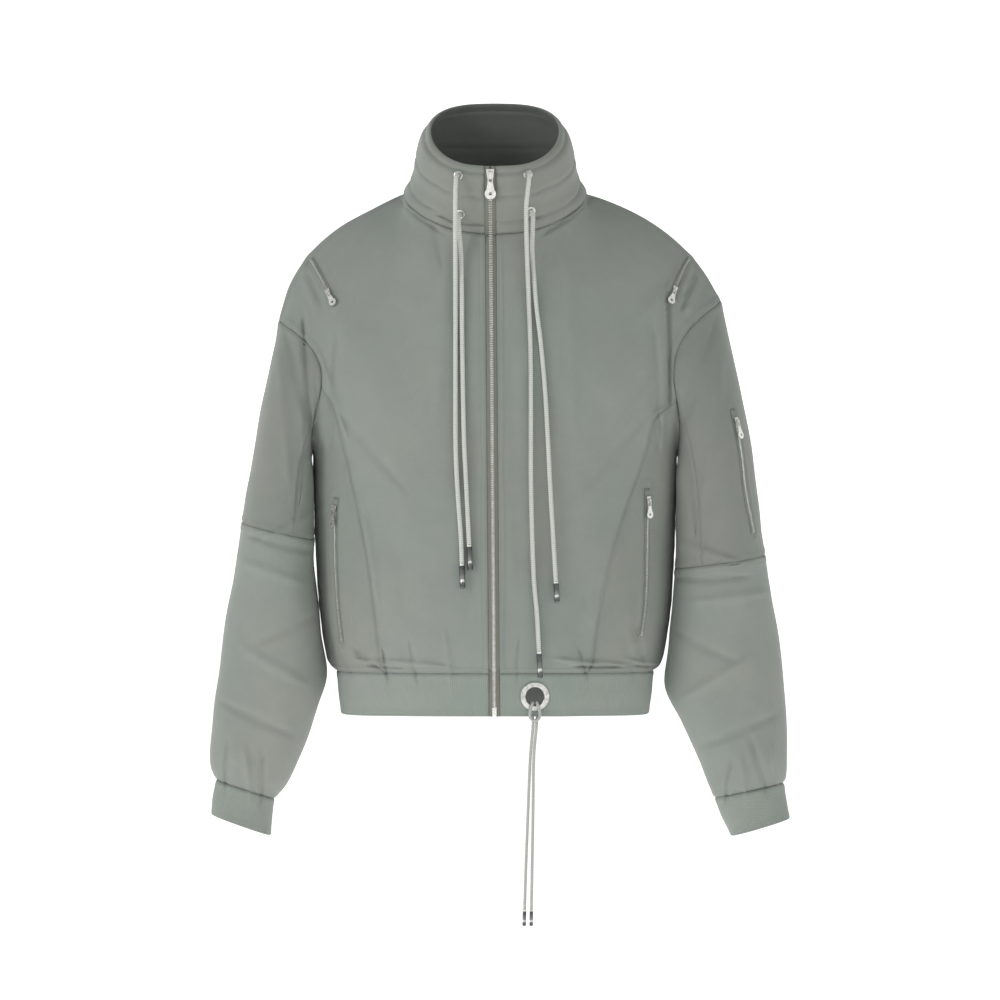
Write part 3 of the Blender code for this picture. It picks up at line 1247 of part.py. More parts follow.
def build():
    """Makes the whole garment."""
    clear_scene()
    surfaces, band = make_cloth()
    cloth = Cloth(surfaces)
    front_zip(surfaces)
    for zip_row in SMALL_ZIPS:
        small_zip(cloth, zip_row)
    add_eyelets(cloth)
    add_hem_eyelet(cloth, band)
    add_cords()
    add_tips()


build()
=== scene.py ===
"""Looks of the sweat jacket: its fine cloth, sewing, zips, cords, finishes, light and camera."""

import math
from collections import namedtuple

import bmesh
import bpy
import numpy as np
from mathutils import Matrix, Vector
from mathutils.bvhtree import BVHTree


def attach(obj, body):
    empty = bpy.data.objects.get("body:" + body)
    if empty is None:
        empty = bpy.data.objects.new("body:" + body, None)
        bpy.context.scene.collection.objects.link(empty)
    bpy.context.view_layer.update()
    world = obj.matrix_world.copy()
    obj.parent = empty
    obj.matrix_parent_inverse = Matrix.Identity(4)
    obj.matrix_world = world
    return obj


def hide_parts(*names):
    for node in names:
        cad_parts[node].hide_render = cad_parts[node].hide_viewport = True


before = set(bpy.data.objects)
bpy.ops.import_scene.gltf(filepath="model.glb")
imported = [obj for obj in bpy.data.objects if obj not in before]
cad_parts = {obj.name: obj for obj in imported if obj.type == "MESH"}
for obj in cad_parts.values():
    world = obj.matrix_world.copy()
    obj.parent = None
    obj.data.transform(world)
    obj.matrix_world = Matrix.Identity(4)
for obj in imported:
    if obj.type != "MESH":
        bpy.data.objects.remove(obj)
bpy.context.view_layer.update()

# ---------------------------------------------------------------- the cut, in metres

NECK_CELLS = 6            # across a quarter of the neckline
SHOULDER_CELLS = 5        # along a shoulder seam
SIDE_CELLS = 5            # across a side front piece
ARM_POINTS = 20           # round an armhole and a sleeve
ARM_HALF = ARM_POINTS // 2
QUARTER = NECK_CELLS + SHOULDER_CELLS   # across a quarter of the body
ZIP_HALF = 0.0070         # half the width between the two fronts
CHAIN_HALF = 0.0026       # half the width of the tooth chain
SEAM_GAP = 0.0003         # between pieces that are set on each other
GIRTH_POWER = 2.4         # roundness of the body's level sections: 2 is an ellipse
SLEEVE_POWER = 2.3
ARM_CLEARANCE = 0.0035    # between a sleeve and the body that it hangs against
RELAX_ROUNDS = 4          # how often a grid is evened out
APEX_WIDTH = 0.0015       # a side front's width where its seam meets the armhole
BACK_BOW = 0.36           # how far a sleeve's back is drawn in, against its front
COLLAR_CORD = 0.0055      # diameters
HEM_CORD = 0.0038

# Level sections of the body, hem seam to armpit.
BodyRow = namedtuple("BodyRow", "z half_width front back")
BODY_ROWS = [
    BodyRow(-0.570, 0.1985, 0.1275, 0.1215),
    BodyRow(-0.562, 0.2070, 0.1335, 0.1275),
    BodyRow(-0.545, 0.2130, 0.1390, 0.1325),
    BodyRow(-0.495, 0.2200, 0.1430, 0.1365),
    BodyRow(-0.430, 0.2245, 0.143, 0.137),
    BodyRow(-0.362, 0.2265, 0.139, 0.135),
    BodyRow(-0.295, 0.2280, 0.134, 0.132),
]

# Sections above the armpit, each ending on the armhole at a turn measured from the shoulder tip.
ChestRow = namedtuple("ChestRow", "turn front_y front_z back_y back_z edge_power")
CHEST_ROWS = [
    ChestRow(180, -0.134, -0.295, 0.132, -0.295, 1 / GIRTH_POWER),
    ChestRow(144, -0.131, -0.243, 0.132, -0.232, 0.60),
    ChestRow(108, -0.126, -0.190, 0.131, -0.165, 0.85),
    ChestRow(72, -0.118, -0.136, 0.128, -0.095, 1.00),
    ChestRow(36, -0.105, -0.078, 0.116, -0.025, 1.00),
    ChestRow(0, -0.090, -0.022, 0.098, 0.035, 1.00),
]
SHOULDER_TURN = 80        # below this turn the sections rise to the shoulder seam

# Rings of the collar, neck seam to rim.
CollarRow = namedtuple("CollarRow", "half_width front_y front_z side_z back_y back_z power")
COLLAR_ROWS = [
    CollarRow(0.1150, -0.0900, -0.022, 0.026, 0.098, 0.035, 2.2),
    CollarRow(0.1045, -0.0945, 0.000, 0.044, 0.092, 0.062, 2.3),
    CollarRow(0.0990, -0.0985, 0.024, 0.066, 0.086, 0.092, 2.5),
    CollarRow(0.0945, -0.1005, 0.047, 0.090, 0.079, 0.121, 2.7),
    CollarRow(0.0815, -0.0975, 0.063, 0.107, 0.069, 0.139, 2.8),
]

# Rings of the hem band, bottom edge to hem seam. The body's last section gives its outline.
BandRow = namedtuple("BandRow", "z share")
BAND_ROWS = [BandRow(-0.6240, 0.970), BandRow(-0.5975, 0.990), BandRow(-0.570, 1.0)]

ARMPIT = (0.228, -0.295)
ArmholeShape = namedtuple("ArmholeShape", "depth bow")
ARMHOLE = {-1: ArmholeShape(0.072, 0.033), 1: ArmholeShape(0.079, 0.012)}

# Rings of the sleeves: the outer and the inner end of each ring, its half depth front to back,
# how far it sits forward, and how far its front and back are drawn towards the chest. The
# tables are in millimetres.
SleeveRow = namedtuple("SleeveRow", "out_x out_z in_x in_z depth forward bow")


def in_metres(rows):
    """A table's rows, whose figures are in millimetres, in metres."""
    return [tuple(value / 1000 for value in row) for row in rows]


def sleeve_rows(rows):
    """Rings of a sleeve or a cuff, from their figures in millimetres."""
    return [SleeveRow(*row) for row in in_metres(rows)]


LEFT_SLEEVE = sleeve_rows([
    (295.5, -162, 225, -316, 78, 0, 15), (307, -215, 221.5, -338, 80, 1, 5),
    (318, -272, 220, -364, 80, 2, 0), (327.5, -330, 219.5, -393, 79, 3, 0),
    (334, -384, 219, -420, 77, 4, 0), (338, -424, 219, -441, 75, 5, 0),
    (346, -470, 217, -487, 72.5, 6, 0), (353.5, -525, 212, -540, 69, 8, 0),
    (360, -583, 213, -588, 63, 10, 0), (365, -637, 234.5, -633, 57, 12, 0),
    (366.8, -675, 255, -682, 51, 14, 0), (365.5, -697, 268, -714, 43, 15, 0),
    (361, -710, 275, -729, 32, 16, 0),
])
RIGHT_SLEEVE = sleeve_rows([
    (281.5, -185, 225, -316, 77, 0, 15), (290, -230, 221.5, -336, 79, 1, 5),
    (298, -275, 220, -355, 79, 2, 0), (306.5, -318, 219.5, -374, 78, 3, 0),
    (312.5, -352, 219.5, -390, 76.5, 4, 0), (316.5, -383, 219.5, -405, 75, 5, 0),
    (326.5, -445, 217.5, -460, 71.5, 6, 0), (336, -505, 212, -518, 67.5, 8, 0),
    (344.5, -567, 209, -572, 62, 10, 0), (351, -615, 221, -615, 56.5, 12, 0),
    (356.5, -662, 240, -669, 50.5, 14, 0), (356.5, -688, 258, -710, 43, 15, 0),
    (349, -706, 276, -730, 32, 16, 0),
])
LEFT_CUFF = sleeve_rows([
    (365.5, -732, 283, -752, 31.5, 18, 0), (369, -755, 296, -777, 32, 20, 0),
])
RIGHT_CUFF = sleeve_rows([
    (354, -729, 278.5, -753, 31.5, 18, 0), (355, -750, 281, -776, 32, 20, 0),
])
ELBOW_ROW = 6             # ring of the elbow seam, the armhole being ring 0
UNDER_SLEEVE = (6, 14)    # points of a ring between the front and back seams of the under sleeve

# Each side of the garment: the crest of its shoulder, and the shaped seam of its side front.
Side = namedtuple("Side", "name sign tip crest seam apex sleeve cuff")
SIDES = [
    Side("left", 1, (0.2830, -0.108),
         [(0.141, 0.0185), (0.181, -0.001), (0.215, -0.022), (0.250, -0.056), (0.2685, -0.082)],
         [(-0.570, 0.1140), (-0.505, 0.1165), (-0.465, 0.1225), (-0.431, 0.1320),
          (-0.390, 0.1440), (-0.348, 0.1600), (-0.315, 0.1760), (-0.285, 0.1950)],
         4, LEFT_SLEEVE, LEFT_CUFF),
    Side("right", -1, (0.2705, -0.132),
         [(0.131, 0.0185), (0.170, -0.001), (0.204, -0.022), (0.236, -0.053), (0.2575, -0.088)],
         [(-0.570, 0.1370), (-0.515, 0.1400), (-0.465, 0.1465), (-0.410, 0.1545),
          (-0.360, 0.1660), (-0.315, 0.1790), (-0.2625, 0.1960), (-0.240, 0.2060)],
         5, RIGHT_SLEEVE, RIGHT_CUFF),
]

# The hem is cut higher in front: how much, and the level from which the rise grows.
FRONT_RISE = 0.0045
RISE_FROM = -0.380

# Soft folds of the cloth as they show from the front (face -1) or from the back (face 1): both
# ends, half the width, and how far the fold stands out, in millimetres in the tables.
Fold = namedtuple("Fold", "x0 z0 x1 z1 half_width out face")


def folds(face, rows):
    """Folds that show from one face, from their figures in millimetres."""
    return [Fold(*row, face) for row in in_metres(rows)]


FOLDS = folds(-1, [
    (172, -455, 186, -558, 18, 4), (102, -490, 128, -560, 17, -3.5), (58, -515, 82, -560, 16, 3),
    (196, -300, 120, -400, 24, -3.5), (205, -110, 150, -205, 22, 3), (-166, -440, -178, -558, 18, 4),
    (-108, -490, -128, -560, 17, -3.5), (-196, -290, -118, -415, 24, -3),
    (-195, -120, -150, -215, 22, 3), (238, -440, 322, -462, 16, -4), (236, -500, 330, -528, 16, -3.5),
    (262, -625, 338, -676, 14, 3.5), (-238, -412, -308, -428, 16, -4),
    (-236, -480, -320, -506, 16, -3.5), (-262, -612, -335, -668, 14, 3.5),
]) + folds(1, [
    (205, -140, 150, -300, 26, 4.5), (-205, -150, -140, -290, 26, 4.5), (85, -420, 120, -558, 22, 4),
    (-90, -400, -112, -558, 22, 4), (10, -450, -5, -558, 20, -3), (240, -430, 326, -455, 18, -4.5),
    (245, -560, 345, -600, 18, 4), (-240, -400, -312, -420, 18, -4.5), (-245, -545, -335, -585, 18, 4),
])
FOLD_REACH = 0.045        # depth from the middle of the garment at which a fold is at its full

# The zip line leans from the hem to the collar's rim.
ZIP_LINE = [(-0.624, -0.0006), (0.065, -0.0060)]

# Short creases that the sewing and the wearing leave: as the folds, but sharper.
CREASE_DEPTH = 1.45       # every crease's depth against the figure in the table
CREASES = folds(-1, [
    # gathers over the hem seam, front
    (-161, -552, -126, -557, 4.5, 3), (-138, -545, -134, -568, 3, -2.8),
    (-120, -552, -72, -556, 5, 2.6), (-104, -535, -98, -566, 4, -2), (-60, -530, -56, -566, 5, 1.6),
    (30, -535, 28, -566, 4, -1.4), (88, -549, 118, -554, 4.5, 3.2), (104, -540, 112, -566, 3.2, -2.6),
    (120, -553, 150, -556, 4.5, 2.4), (178, -554, 202, -562, 4.5, 2.8),
    (166, -535, 171, -566, 3.8, -2.2), (-192, -545, -180, -566, 4, -2.4),
    (106, -557, 148, -559, 2.6, -3.4), (182, -560, 203, -563.5, 2.6, -3),
    (-152, -558, -120, -559, 2.6, -3),
    # folds that run into the pockets and down to the hem
    (173, -470, 174, -518, 4, -2.6), (175, -518, 189, -556, 4.5, -2.6),
    (-176, -500, -168, -548, 4.5, -2.2), (-172, -540, -150, -556, 4.5, -2.2),
    (150, -410, 131, -480, 6, 1.6), (-158, -390, -146, -470, 6, 1.6),
    # the long folds where the filled body meets the hanging sleeves
    (214.4, -100, 216.5, -225, 3.6, -5), (206, -100, 208.5, -270, 6, 2.2),
    (-238.5, -135, -229, -262, 3.6, -3.6), (-245, -150, -239, -280, 6, 1.2),
    # cloth pushed up beside the shoulder zips
    (241.5, -62, 231, -102, 4.5, 2.8), (253, -84, 239, -114, 4.5, 2.4),
    (248, -72, 235, -108, 3.5, -2.4), (-240, -70, -227, -104, 4.5, 2.4),
    (-234, -78, -220, -100, 3.5, -2), (233, -62, 218, -90, 5, 1.6), (214, -92, 190, -118, 7, 1.6),
    (-225, -68, -208, -96, 5, 1.6),
    # drag lines from the armholes and across the chest
    (196, -150, 203, -270, 6, -2.4), (188, -215, 160, -262, 7, 1.8), (176, -262, 128, -318, 9, -1.8),
    (-196, -160, -205, -275, 6, -2.4), (-206, -205, -188, -262, 5, 2.2),
    (-184, -255, -130, -315, 9, -1.8), (-62, -90, -70, -205, 12, 1.2), (92, -80, 98, -230, 12, 1.2),
    (20, -200, 30, -420, 11, -1), (-22, -240, -32, -460, 11, -1),
    # puckers at the neck
    (-62, -2, -50, -6, 3.2, -2.6), (-44, -8, -18, -10, 2.8, -2.4), (44, -3, 54, -1, 3, -2.4),
    (113, 16, 72, -14, 5, -3.4), (-112, 14, -80, -10, 5, -2.6), (66, -12, 58, -45, 6, -1.4),
    (-74, -12, -68, -46, 6, -1.4),
    # sleeves, front: round the elbows and above the cuffs
    (228, -408, 284, -424, 6.5, 2.8), (232, -452, 300, -449, 5.5, -2.8), (262, -478, 330, -470, 6, 2.4),
    (228, -520, 286, -548, 6.5, -2.6), (252, -590, 300, -560, 7, 2.2),
    (272, -655, 338, -628, 6.5, -2.6), (322, -662, 336, -709, 4.5, -3), (294, -690, 290, -722, 4, -2.6),
    (308, -684, 312, -716, 4.5, 2.6), (348, -670, 352, -704, 4, 2.4),
    (-226, -372, -276, -396, 6.5, 2.8), (-230, -418, -296, -400, 5.5, -2.8),
    (-252, -452, -316, -430, 6, 2.4), (-226, -500, -280, -524, 6.5, -2.6),
    (-250, -575, -296, -548, 7, 2.2), (-268, -640, -328, -612, 6.5, -2.6),
    (-290, -680, -292, -722, 4.5, -2.8), (-310, -676, -306, -716, 4.5, 2.6),
    (-334, -668, -336, -706, 4.2, -2.6),
    # upper sleeves, front: drag lines below the dropped shoulders
    (268, -150, 236, -250, 7, -2.4), (282, -200, 262, -330, 8, 1.8), (236, -300, 248, -380, 6, -2.2),
    (-256, -160, -232, -250, 7, -2.4), (-268, -200, -258, -310, 8, 1.8),
    (-234, -290, -244, -352, 6, -2.2),
]) + folds(1, [
    # the back: yoke drags, gathers over the hem, and round the elbows
    (150, -60, 112, -170, 11, -2.4), (-145, -70, -104, -180, 11, -2.4),
    (190, -170, 148, -290, 10, -2.6), (-192, -180, -150, -300, 10, -2.6), (30, -20, 38, -160, 13, 1.4),
    (-40, -30, -34, -190, 13, 1.4), (150, -552, 186, -558, 4.8, 2.8), (112, -538, 108, -566, 4.2, -2.4),
    (44, -554, 88, -556, 5, 2.6), (22, -532, 26, -566, 4.2, -2), (-30, -552, 4, -557, 4.8, 2.6),
    (-62, -536, -58, -566, 4.2, -2.2), (-130, -555, -84, -553, 5, 2.6),
    (-150, -536, -156, -566, 4.2, -2.4), (-196, -556, -170, -554, 4.8, 2.6),
    (236, -420, 306, -448, 6.5, -3), (240, -462, 318, -462, 6, 2.4), (246, -512, 326, -540, 7, -2.6),
    (270, -640, 344, -612, 6.5, -2.6), (300, -680, 306, -720, 4.5, -2.8),
    (330, -672, 328, -710, 4.5, 2.6), (-234, -384, -296, -412, 6.5, -3),
    (-238, -426, -308, -424, 6, 2.4), (-244, -484, -318, -512, 7, -2.6),
    (-268, -622, -334, -596, 6.5, -2.6), (-296, -676, -300, -718, 4.5, -2.8),
    (-322, -668, -320, -708, 4.5, 2.6), (272, -170, 240, -260, 8, -2.2),
    (-262, -180, -236, -260, 8, -2.2),
])

# Small zips: the points that the zip runs along, top end first, the share of it above the
# slider, and a point inside the garment to tell the outside from.
SmallZip = namedtuple("SmallZip", "name path slider_at inside")
SMALL_ZIPS = [
    SmallZip("pocket_left", [(0.1950, -0.09, -0.338), (0.1965, -0.09, -0.440),
                             (0.1960, -0.09, -0.481), (0.1900, -0.09, -0.525)], 0.075, (0, 0, -0.4)),
    SmallZip("pocket_right", [(-0.2010, -0.08, -0.350), (-0.2080, -0.08, -0.400),
                              (-0.2090, -0.08, -0.470), (-0.2040, -0.08, -0.532)], 0.075, (0, 0, -0.4)),
    SmallZip("shoulder_left", [(0.2440, -0.006, -0.054), (0.2400, -0.022, -0.062),
                               (0.2320, -0.042, -0.078), (0.2235, -0.056, -0.098)], 0.84, (0, 0, -0.2)),
    SmallZip("shoulder_right", [(-0.2320, -0.006, -0.054), (-0.2260, -0.024, -0.066),
                                (-0.2160, -0.044, -0.084), (-0.2050, -0.060, -0.104)], 0.80,
             (0, 0, -0.2)),
    SmallZip("sleeve_zip", [(0.2965, -0.06, -0.240), (0.3020, -0.06, -0.290),
                            (0.3060, -0.06, -0.340), (0.3110, -0.05, -0.396)], 0.10,
             (0.275, 0, -0.32)),
]
SMALL = 0.72              # size of the small sliders against the front one
SLIDER_LENGTH = 0.0120    # of the front one
TAPE_WIDTH = 0.0090       # of a small zip

# Eyelets: where each shows from the front.
Eyelet = namedtuple("Eyelet", "name x z")
EYELETS = [
    Eyelet("upper_left", 0.0409, 0.0525),
    Eyelet("upper_right", -0.0453, 0.0513),
    Eyelet("lower_left", 0.0446, 0.0069),
    Eyelet("lower_right", -0.0428, 0.0031),
]
HEM_EYELET = Eyelet("hem", 0.0495, -0.5942)
EYELET_HOLE = 0.00305
EYELET_RIM = 0.0058
EYELET_WALL = 0.0012
HEM_HOLE = 0.0118
HEM_RIM = 0.0179
HEM_BACK_RIM = 0.0155
HEM_TUBE_WALL = 0.0007
HEM_RIM_RISE = 0.0013
HEM_EYELET_LIFT = 0.0006

# Metal ends of the cords.
Tip = namedtuple("Tip", "cord radius length")
TIPS = {
    "tip_upper_right": Tip("cord_upper_right", 0.0033, 0.0310),
    "tip_lower_right": Tip("cord_lower_right", 0.0033, 0.0320),
    "tip_upper_left": Tip("cord_upper_left", 0.0033, 0.0340),
    "tip_lower_left": Tip("cord_lower_left", 0.0033, 0.0260),
    "tip_hem_right": Tip("cord_hem_right", 0.0023, 0.0200),
    "tip_hem_left": Tip("cord_hem_left", 0.0023, 0.0200),
}

# Free cords: diameter, and the points that the middle of the cord runs through, in millimetres
# in the table, from where it leaves the garment.
Cord = namedtuple("Cord", "diameter route")
CORDS = {
    "cord_upper_right": Cord(COLLAR_CORD, in_metres([
        (-45.7, -96.7, 51.4), (-46.7, -100.3, 51.8), (-48, -105.5, 49), (-48.6, -108.5, 40.8),
        (-48.9, -109.8, 30.7), (-49.2, -110.5, 3.7), (-49.1, -111.8, -45.7), (-49, -114.3, -93.4),
        (-48.9, -119.7, -139.7), (-48.9, -129.3, -203.8), (-48.8, -136.3, -275.5), (-47, -139.5, -325),
        (-42, -143, -399.2), (-41, -144.2, -427.7)])),
    "cord_lower_right": Cord(COLLAR_CORD, in_metres([
        (-43.2, -90, 2.8), (-44.4, -93.6, 2), (-45.1, -98.4, -1), (-44.8, -101.2, -9), (-44, -102, -21),
        (-42.1, -103.8, -45.5), (-41, -113.3, -93.4), (-40.8, -119.8, -139.7), (-39.8, -129.8, -203.8),
        (-38.3, -136.6, -275.5), (-35.9, -139.8, -325.1), (-32.1, -143.8, -404.3)])),
    "cord_upper_left": Cord(COLLAR_CORD, in_metres([
        (41.2, -98, 52.8), (42, -101.5, 53.5), (42.4, -106.9, 51.2), (41.7, -109.6, 42.9),
        (40.5, -110.7, 31.7), (38.6, -111.2, 7.5), (39.6, -112.3, -45.7), (41.4, -114.8, -93.4),
        (43.8, -122.9, -156.9), (44.5, -130.1, -208.9), (44.5, -136.5, -275.5), (44.5, -139.8, -325.1),
        (46, -143, -394.2), (48.2, -144.7, -448.7), (51.9, -144.7, -490.8), (54.4, -142.5, -536.6)])),
    "cord_lower_left": Cord(COLLAR_CORD, in_metres([
        (45, -90.2, 6.6), (46.2, -93.7, 5.8), (47.2, -98.4, 2.6), (47.1, -101.1, -5), (46.8, -102, -18),
        (46.4, -103.8, -45.5), (50.8, -114.8, -104.9), (56.9, -121.8, -156.9), (62, -129.3, -213.8),
        (65.5, -135.3, -275.5), (68, -138.5, -325), (72, -142, -394.2), (75.4, -143.5, -450.1)])),
    "cord_hem_bight": Cord(HEM_CORD, in_metres([
        (45.5, -117.2, -612.7), (45.9, -117.2, -606.7), (46.5, -119, -602.7), (46.9, -122.7, -602.3),
        (46.3, -126.8, -603.5), (44.3, -128.3, -609.7), (43.3, -128.6, -616.2), (44.5, -129, -621.5),
        (49.5, -129.4, -624), (54.5, -128.8, -621.5), (55.7, -128.1, -616.2), (54.7, -127.8, -609.7),
        (52.7, -126.3, -603.5), (52.1, -122.2, -602.3), (52.5, -118.5, -602.7), (53.1, -116.7, -606.7),
        (53.5, -116.7, -612.7)])),
    "cord_hem_right": Cord(HEM_CORD, in_metres([
        (45.5, -117.2, -613.1), (45.9, -117.2, -617.7), (46.8, -119, -622.3), (47.3, -121.8, -623.9),
        (47.3, -124.3, -626.7), (47, -125, -633.7), (43.7, -125.2, -672.2), (40.8, -125, -743.7),
        (38.5, -125, -803.7), (36.8, -125, -859.7)])),
    "cord_hem_left": Cord(HEM_CORD, in_metres([
        (53.5, -116.7, -613.1), (53.1, -116.7, -617.7), (52.2, -118.5, -622.3), (51.7, -121.3, -623.9),
        (51.7, -124, -626.7), (51.4, -125, -633.7), (48.2, -125.2, -672.2), (47.2, -125, -743.7),
        (46.2, -125, -803.7), (45.3, -125, -859.7)])),
}

Half = namedtuple("Half", "side front flank back sleeve cuff")
UNDER_START, UNDER_END = UNDER_SLEEVE


# ---------------------------------------------------------------- the form of the cut pieces


def grown(grid, places, closed=False):
    """The smooth curve or surface through a grid's rows, at any places counted in rows."""
    if closed:
        padded = np.concatenate([grid[-1:], grid, grid[:2]])
    else:
        padded = np.concatenate([[2 * grid[0] - grid[1]], grid, [2 * grid[-1] - grid[-2]]])
    last = len(grid) - (1 if closed else 2)
    cell = np.clip(np.floor(places).astype(int), 0, last)
    t = (places - cell).reshape((-1,) + (1,) * (grid.ndim - 1))
    a, b, c, d = (padded[cell + k] for k in range(4))
    cubic = (3 * b - a - 3 * c + d) * t ** 3
    square = (2 * a - 5 * b + 4 * c - d) * t ** 2
    return (2 * b + (c - a) * t + square + cubic) / 2


def spline(points, per_span=12):
    """Points on the smooth curve or surface through the given ones, `per_span` to each span."""
    points = np.asarray(points, float)
    return grown(points, np.arange((len(points) - 1) * per_span + 1) / per_span)


def line_length(line):
    """The length of a line of points."""
    return float(np.sum(np.linalg.norm(np.diff(line, axis=0), axis=1)))


def shares(curve):
    """How far along a polyline each of its points lies, from 0 to 1."""
    steps = np.linalg.norm(np.diff(curve, axis=0), axis=1)
    run = np.concatenate([[0], np.cumsum(steps)])
    return run / run[-1]


def spread(curve, wanted):
    """Points at the wanted shares of a polyline's length."""
    run = shares(curve)
    return np.stack([np.interp(wanted, run, curve[:, k]) for k in range(3)], axis=1)


def rounded(value, power):
    """A sine or cosine bent into its superellipse form."""
    return np.sign(value) * np.abs(value) ** (2 / power)


def table_at(rows, key):
    """A row of a table of named columns at any value of its first column."""
    dense = spline(rows)
    if dense[0, 0] > dense[-1, 0]:
        dense = dense[::-1]
    return type(rows[0])(*(np.interp(key, dense[:, 0], dense[:, k]) for k in range(dense.shape[1])))


def grid_normals(grid, sign, closed):
    """Unit normals of a grid of points, turned outwards by the sign."""
    along = np.gradient(grid, axis=0)
    if closed:
        across = np.roll(grid, -1, axis=1) - np.roll(grid, 1, axis=1)
    else:
        across = np.gradient(grid, axis=1)
    normals = np.cross(across, along) * sign
    return normals / np.linalg.norm(normals, axis=2, keepdims=True)


def relax(grid, rounds):
    """Evens out the inside of a grid and leaves its edges where they are."""
    for _ in range(rounds):
        middle = (grid[2:, 1:-1] + grid[:-2, 1:-1] + grid[1:-1, 2:] + grid[1:-1, :-2]) / 4
        grid[1:-1, 1:-1] = (grid[1:-1, 1:-1] + middle) / 2
    return grid


def beside_fold(x, z, fold):
    """How far points lie aside of a fold's line and past its ends, and their share of its run."""
    along = np.array([fold.x1 - fold.x0, fold.z1 - fold.z0])
    length = np.linalg.norm(along)
    along /= length
    run = (x - fold.x0) * along[0] + (z - fold.z0) * along[1]
    aside = (x - fold.x0) * along[1] - (z - fold.z0) * along[0]
    return aside, np.maximum(np.maximum(-run, run - length), 0), run / length


def shape_cloth(grid):
    """Raises the front of the hem and lays the folds into a grid of points."""
    x, y, z = grid[..., 0], grid[..., 1], grid[..., 2]
    level = np.clip((RISE_FROM - z) / (RISE_FROM - BODY_ROWS[0].z), 0, 1)
    forward = np.clip(-y / BODY_ROWS[0].front, 0, 1)
    shaped = grid.copy()
    shaped[..., 2] += FRONT_RISE * level ** 2 * forward ** 1.5
    reach = np.clip(np.abs(y) / FOLD_REACH, 0, 1)
    for fold in FOLDS:
        aside, past, _ = beside_fold(x, z, fold)
        height = np.exp(-(aside ** 2 + past ** 2) / fold.half_width ** 2) * reach ** 2
        shaped[..., 1] += np.where(y * fold.face > 0, fold.face * fold.out * height, 0)
    return shaped


def relax_front(front, flank):
    """Evens out a front together with its side front, right across their seam."""
    rows, columns = len(flank), front.shape[1]
    for _ in range(RELAX_ROUNDS):
        both = np.concatenate([front[:rows], flank[:, 1:]], axis=1)
        relax(both, 1)
        relax(front[rows - 2:], 1)
        front[:rows - 1] = both[:rows - 1, :columns]
        flank[:rows - 1] = both[:rows - 1, columns - 1:]


def zip_x(z):
    """Where the zip line crosses a level."""
    heights, places = zip(*ZIP_LINE)
    return np.interp(z, heights, places)


def hollow(turn):
    """How far an armhole is cut into the body round its turn, most of it high up."""
    return math.sin(turn) ** 2 * (1 + math.cos(turn))


def armhole_point(side, face, turn):
    """A point of the armhole: turn 0 at the shoulder tip, pi at the armpit."""
    shape = ARMHOLE[face]
    down = (1 - math.cos(turn)) / 2
    x = side.tip[0] + (ARMPIT[0] - side.tip[0]) * down - shape.bow * hollow(turn)
    z = side.tip[1] + (ARMPIT[1] - side.tip[1]) * down
    return np.array([side.sign * x, face * shape.depth * math.sin(turn), z])


def level_curve(side, face, z):
    """A quarter of the body's level section, centre to side seam."""
    row = table_at(BODY_ROWS, z)
    depth = row.front if face < 0 else row.back
    turn = np.linspace(0, math.pi / 2, 90)
    x = side.sign * row.half_width * rounded(np.sin(turn), GIRTH_POWER)
    y = face * depth * rounded(np.cos(turn), GIRTH_POWER)
    return np.stack([x, y, np.full_like(x, z)], axis=1)


def chest_curve(side, face, turn):
    """A section above the armpit, from the centre to the armhole."""
    row = table_at(CHEST_ROWS, math.degrees(turn))
    end = armhole_point(side, face, turn)
    centre_y, centre_z = (row.front_y, row.front_z) if face < 0 else (row.back_y, row.back_z)
    reach = np.linspace(0, 1, 90)
    fall = (1 - reach ** GIRTH_POWER) ** row.edge_power
    x = end[0] * reach
    y = end[1] + (centre_y - end[1]) * fall
    z = centre_z + (end[2] - centre_z) * reach ** 2
    return np.stack([x, y, z], axis=1)


def from_zip(curve, side):
    """Cuts a front curve off where the front meets the zip tape."""
    edge = ZIP_HALF + side.sign * zip_x(curve[0, 2])
    reach = curve[:, 0] * side.sign
    start = [np.interp(edge, reach, curve[:, k]) for k in range(3)]
    return np.vstack([start, curve[reach > edge + 1e-6]])


def collar_point(row, side_sign, angle):
    """A point of a collar ring: angle 0 at the front, pi at the back."""
    centre_y = (row.front_y + row.back_y) / 2
    centre_z = (row.front_z + row.back_z + 2 * row.side_z) / 4
    tilt = (row.front_z - row.back_z) / 2
    dip = ((row.front_z + row.back_z) / 2 - row.side_z) / 2
    x = row.half_width * rounded(math.sin(angle), row.power)
    y = centre_y + (row.front_y - row.back_y) / 2 * rounded(math.cos(angle), row.power)
    z = centre_z + tilt * math.cos(angle) + dip * math.cos(2 * angle)
    return np.array([side_sign * x, y, z])


def collar_angles(row, side_sign, face):
    """The angles of a ring's points on one quarter, starting from the centre line."""
    if face > 0:
        return np.linspace(math.pi, math.pi / 2, NECK_CELLS + 1)
    edge = ZIP_HALF + side_sign * zip_x(row.front_z)
    start = math.asin((edge / row.half_width) ** (row.power / 2))
    return np.linspace(start, math.pi / 2, NECK_CELLS + 1)


def top_edge(side, face):
    """The neckline from the centre to the neck point, then the shoulder seam to its tip."""
    base = COLLAR_ROWS[0]
    neckline = [collar_point(base, side.sign, a) for a in collar_angles(base, side.sign, face)]
    neck_point = neckline[-1]
    crest = [neck_point] + [(side.sign * x, neck_point[1] / 2, z) for x, z in side.crest]
    crest.append((side.sign * side.tip[0], 0.0, side.tip[1]))
    seam = spread(spline(crest), np.linspace(0, 1, SHOULDER_CELLS + 1))
    return np.vstack([neckline, seam[1:]])


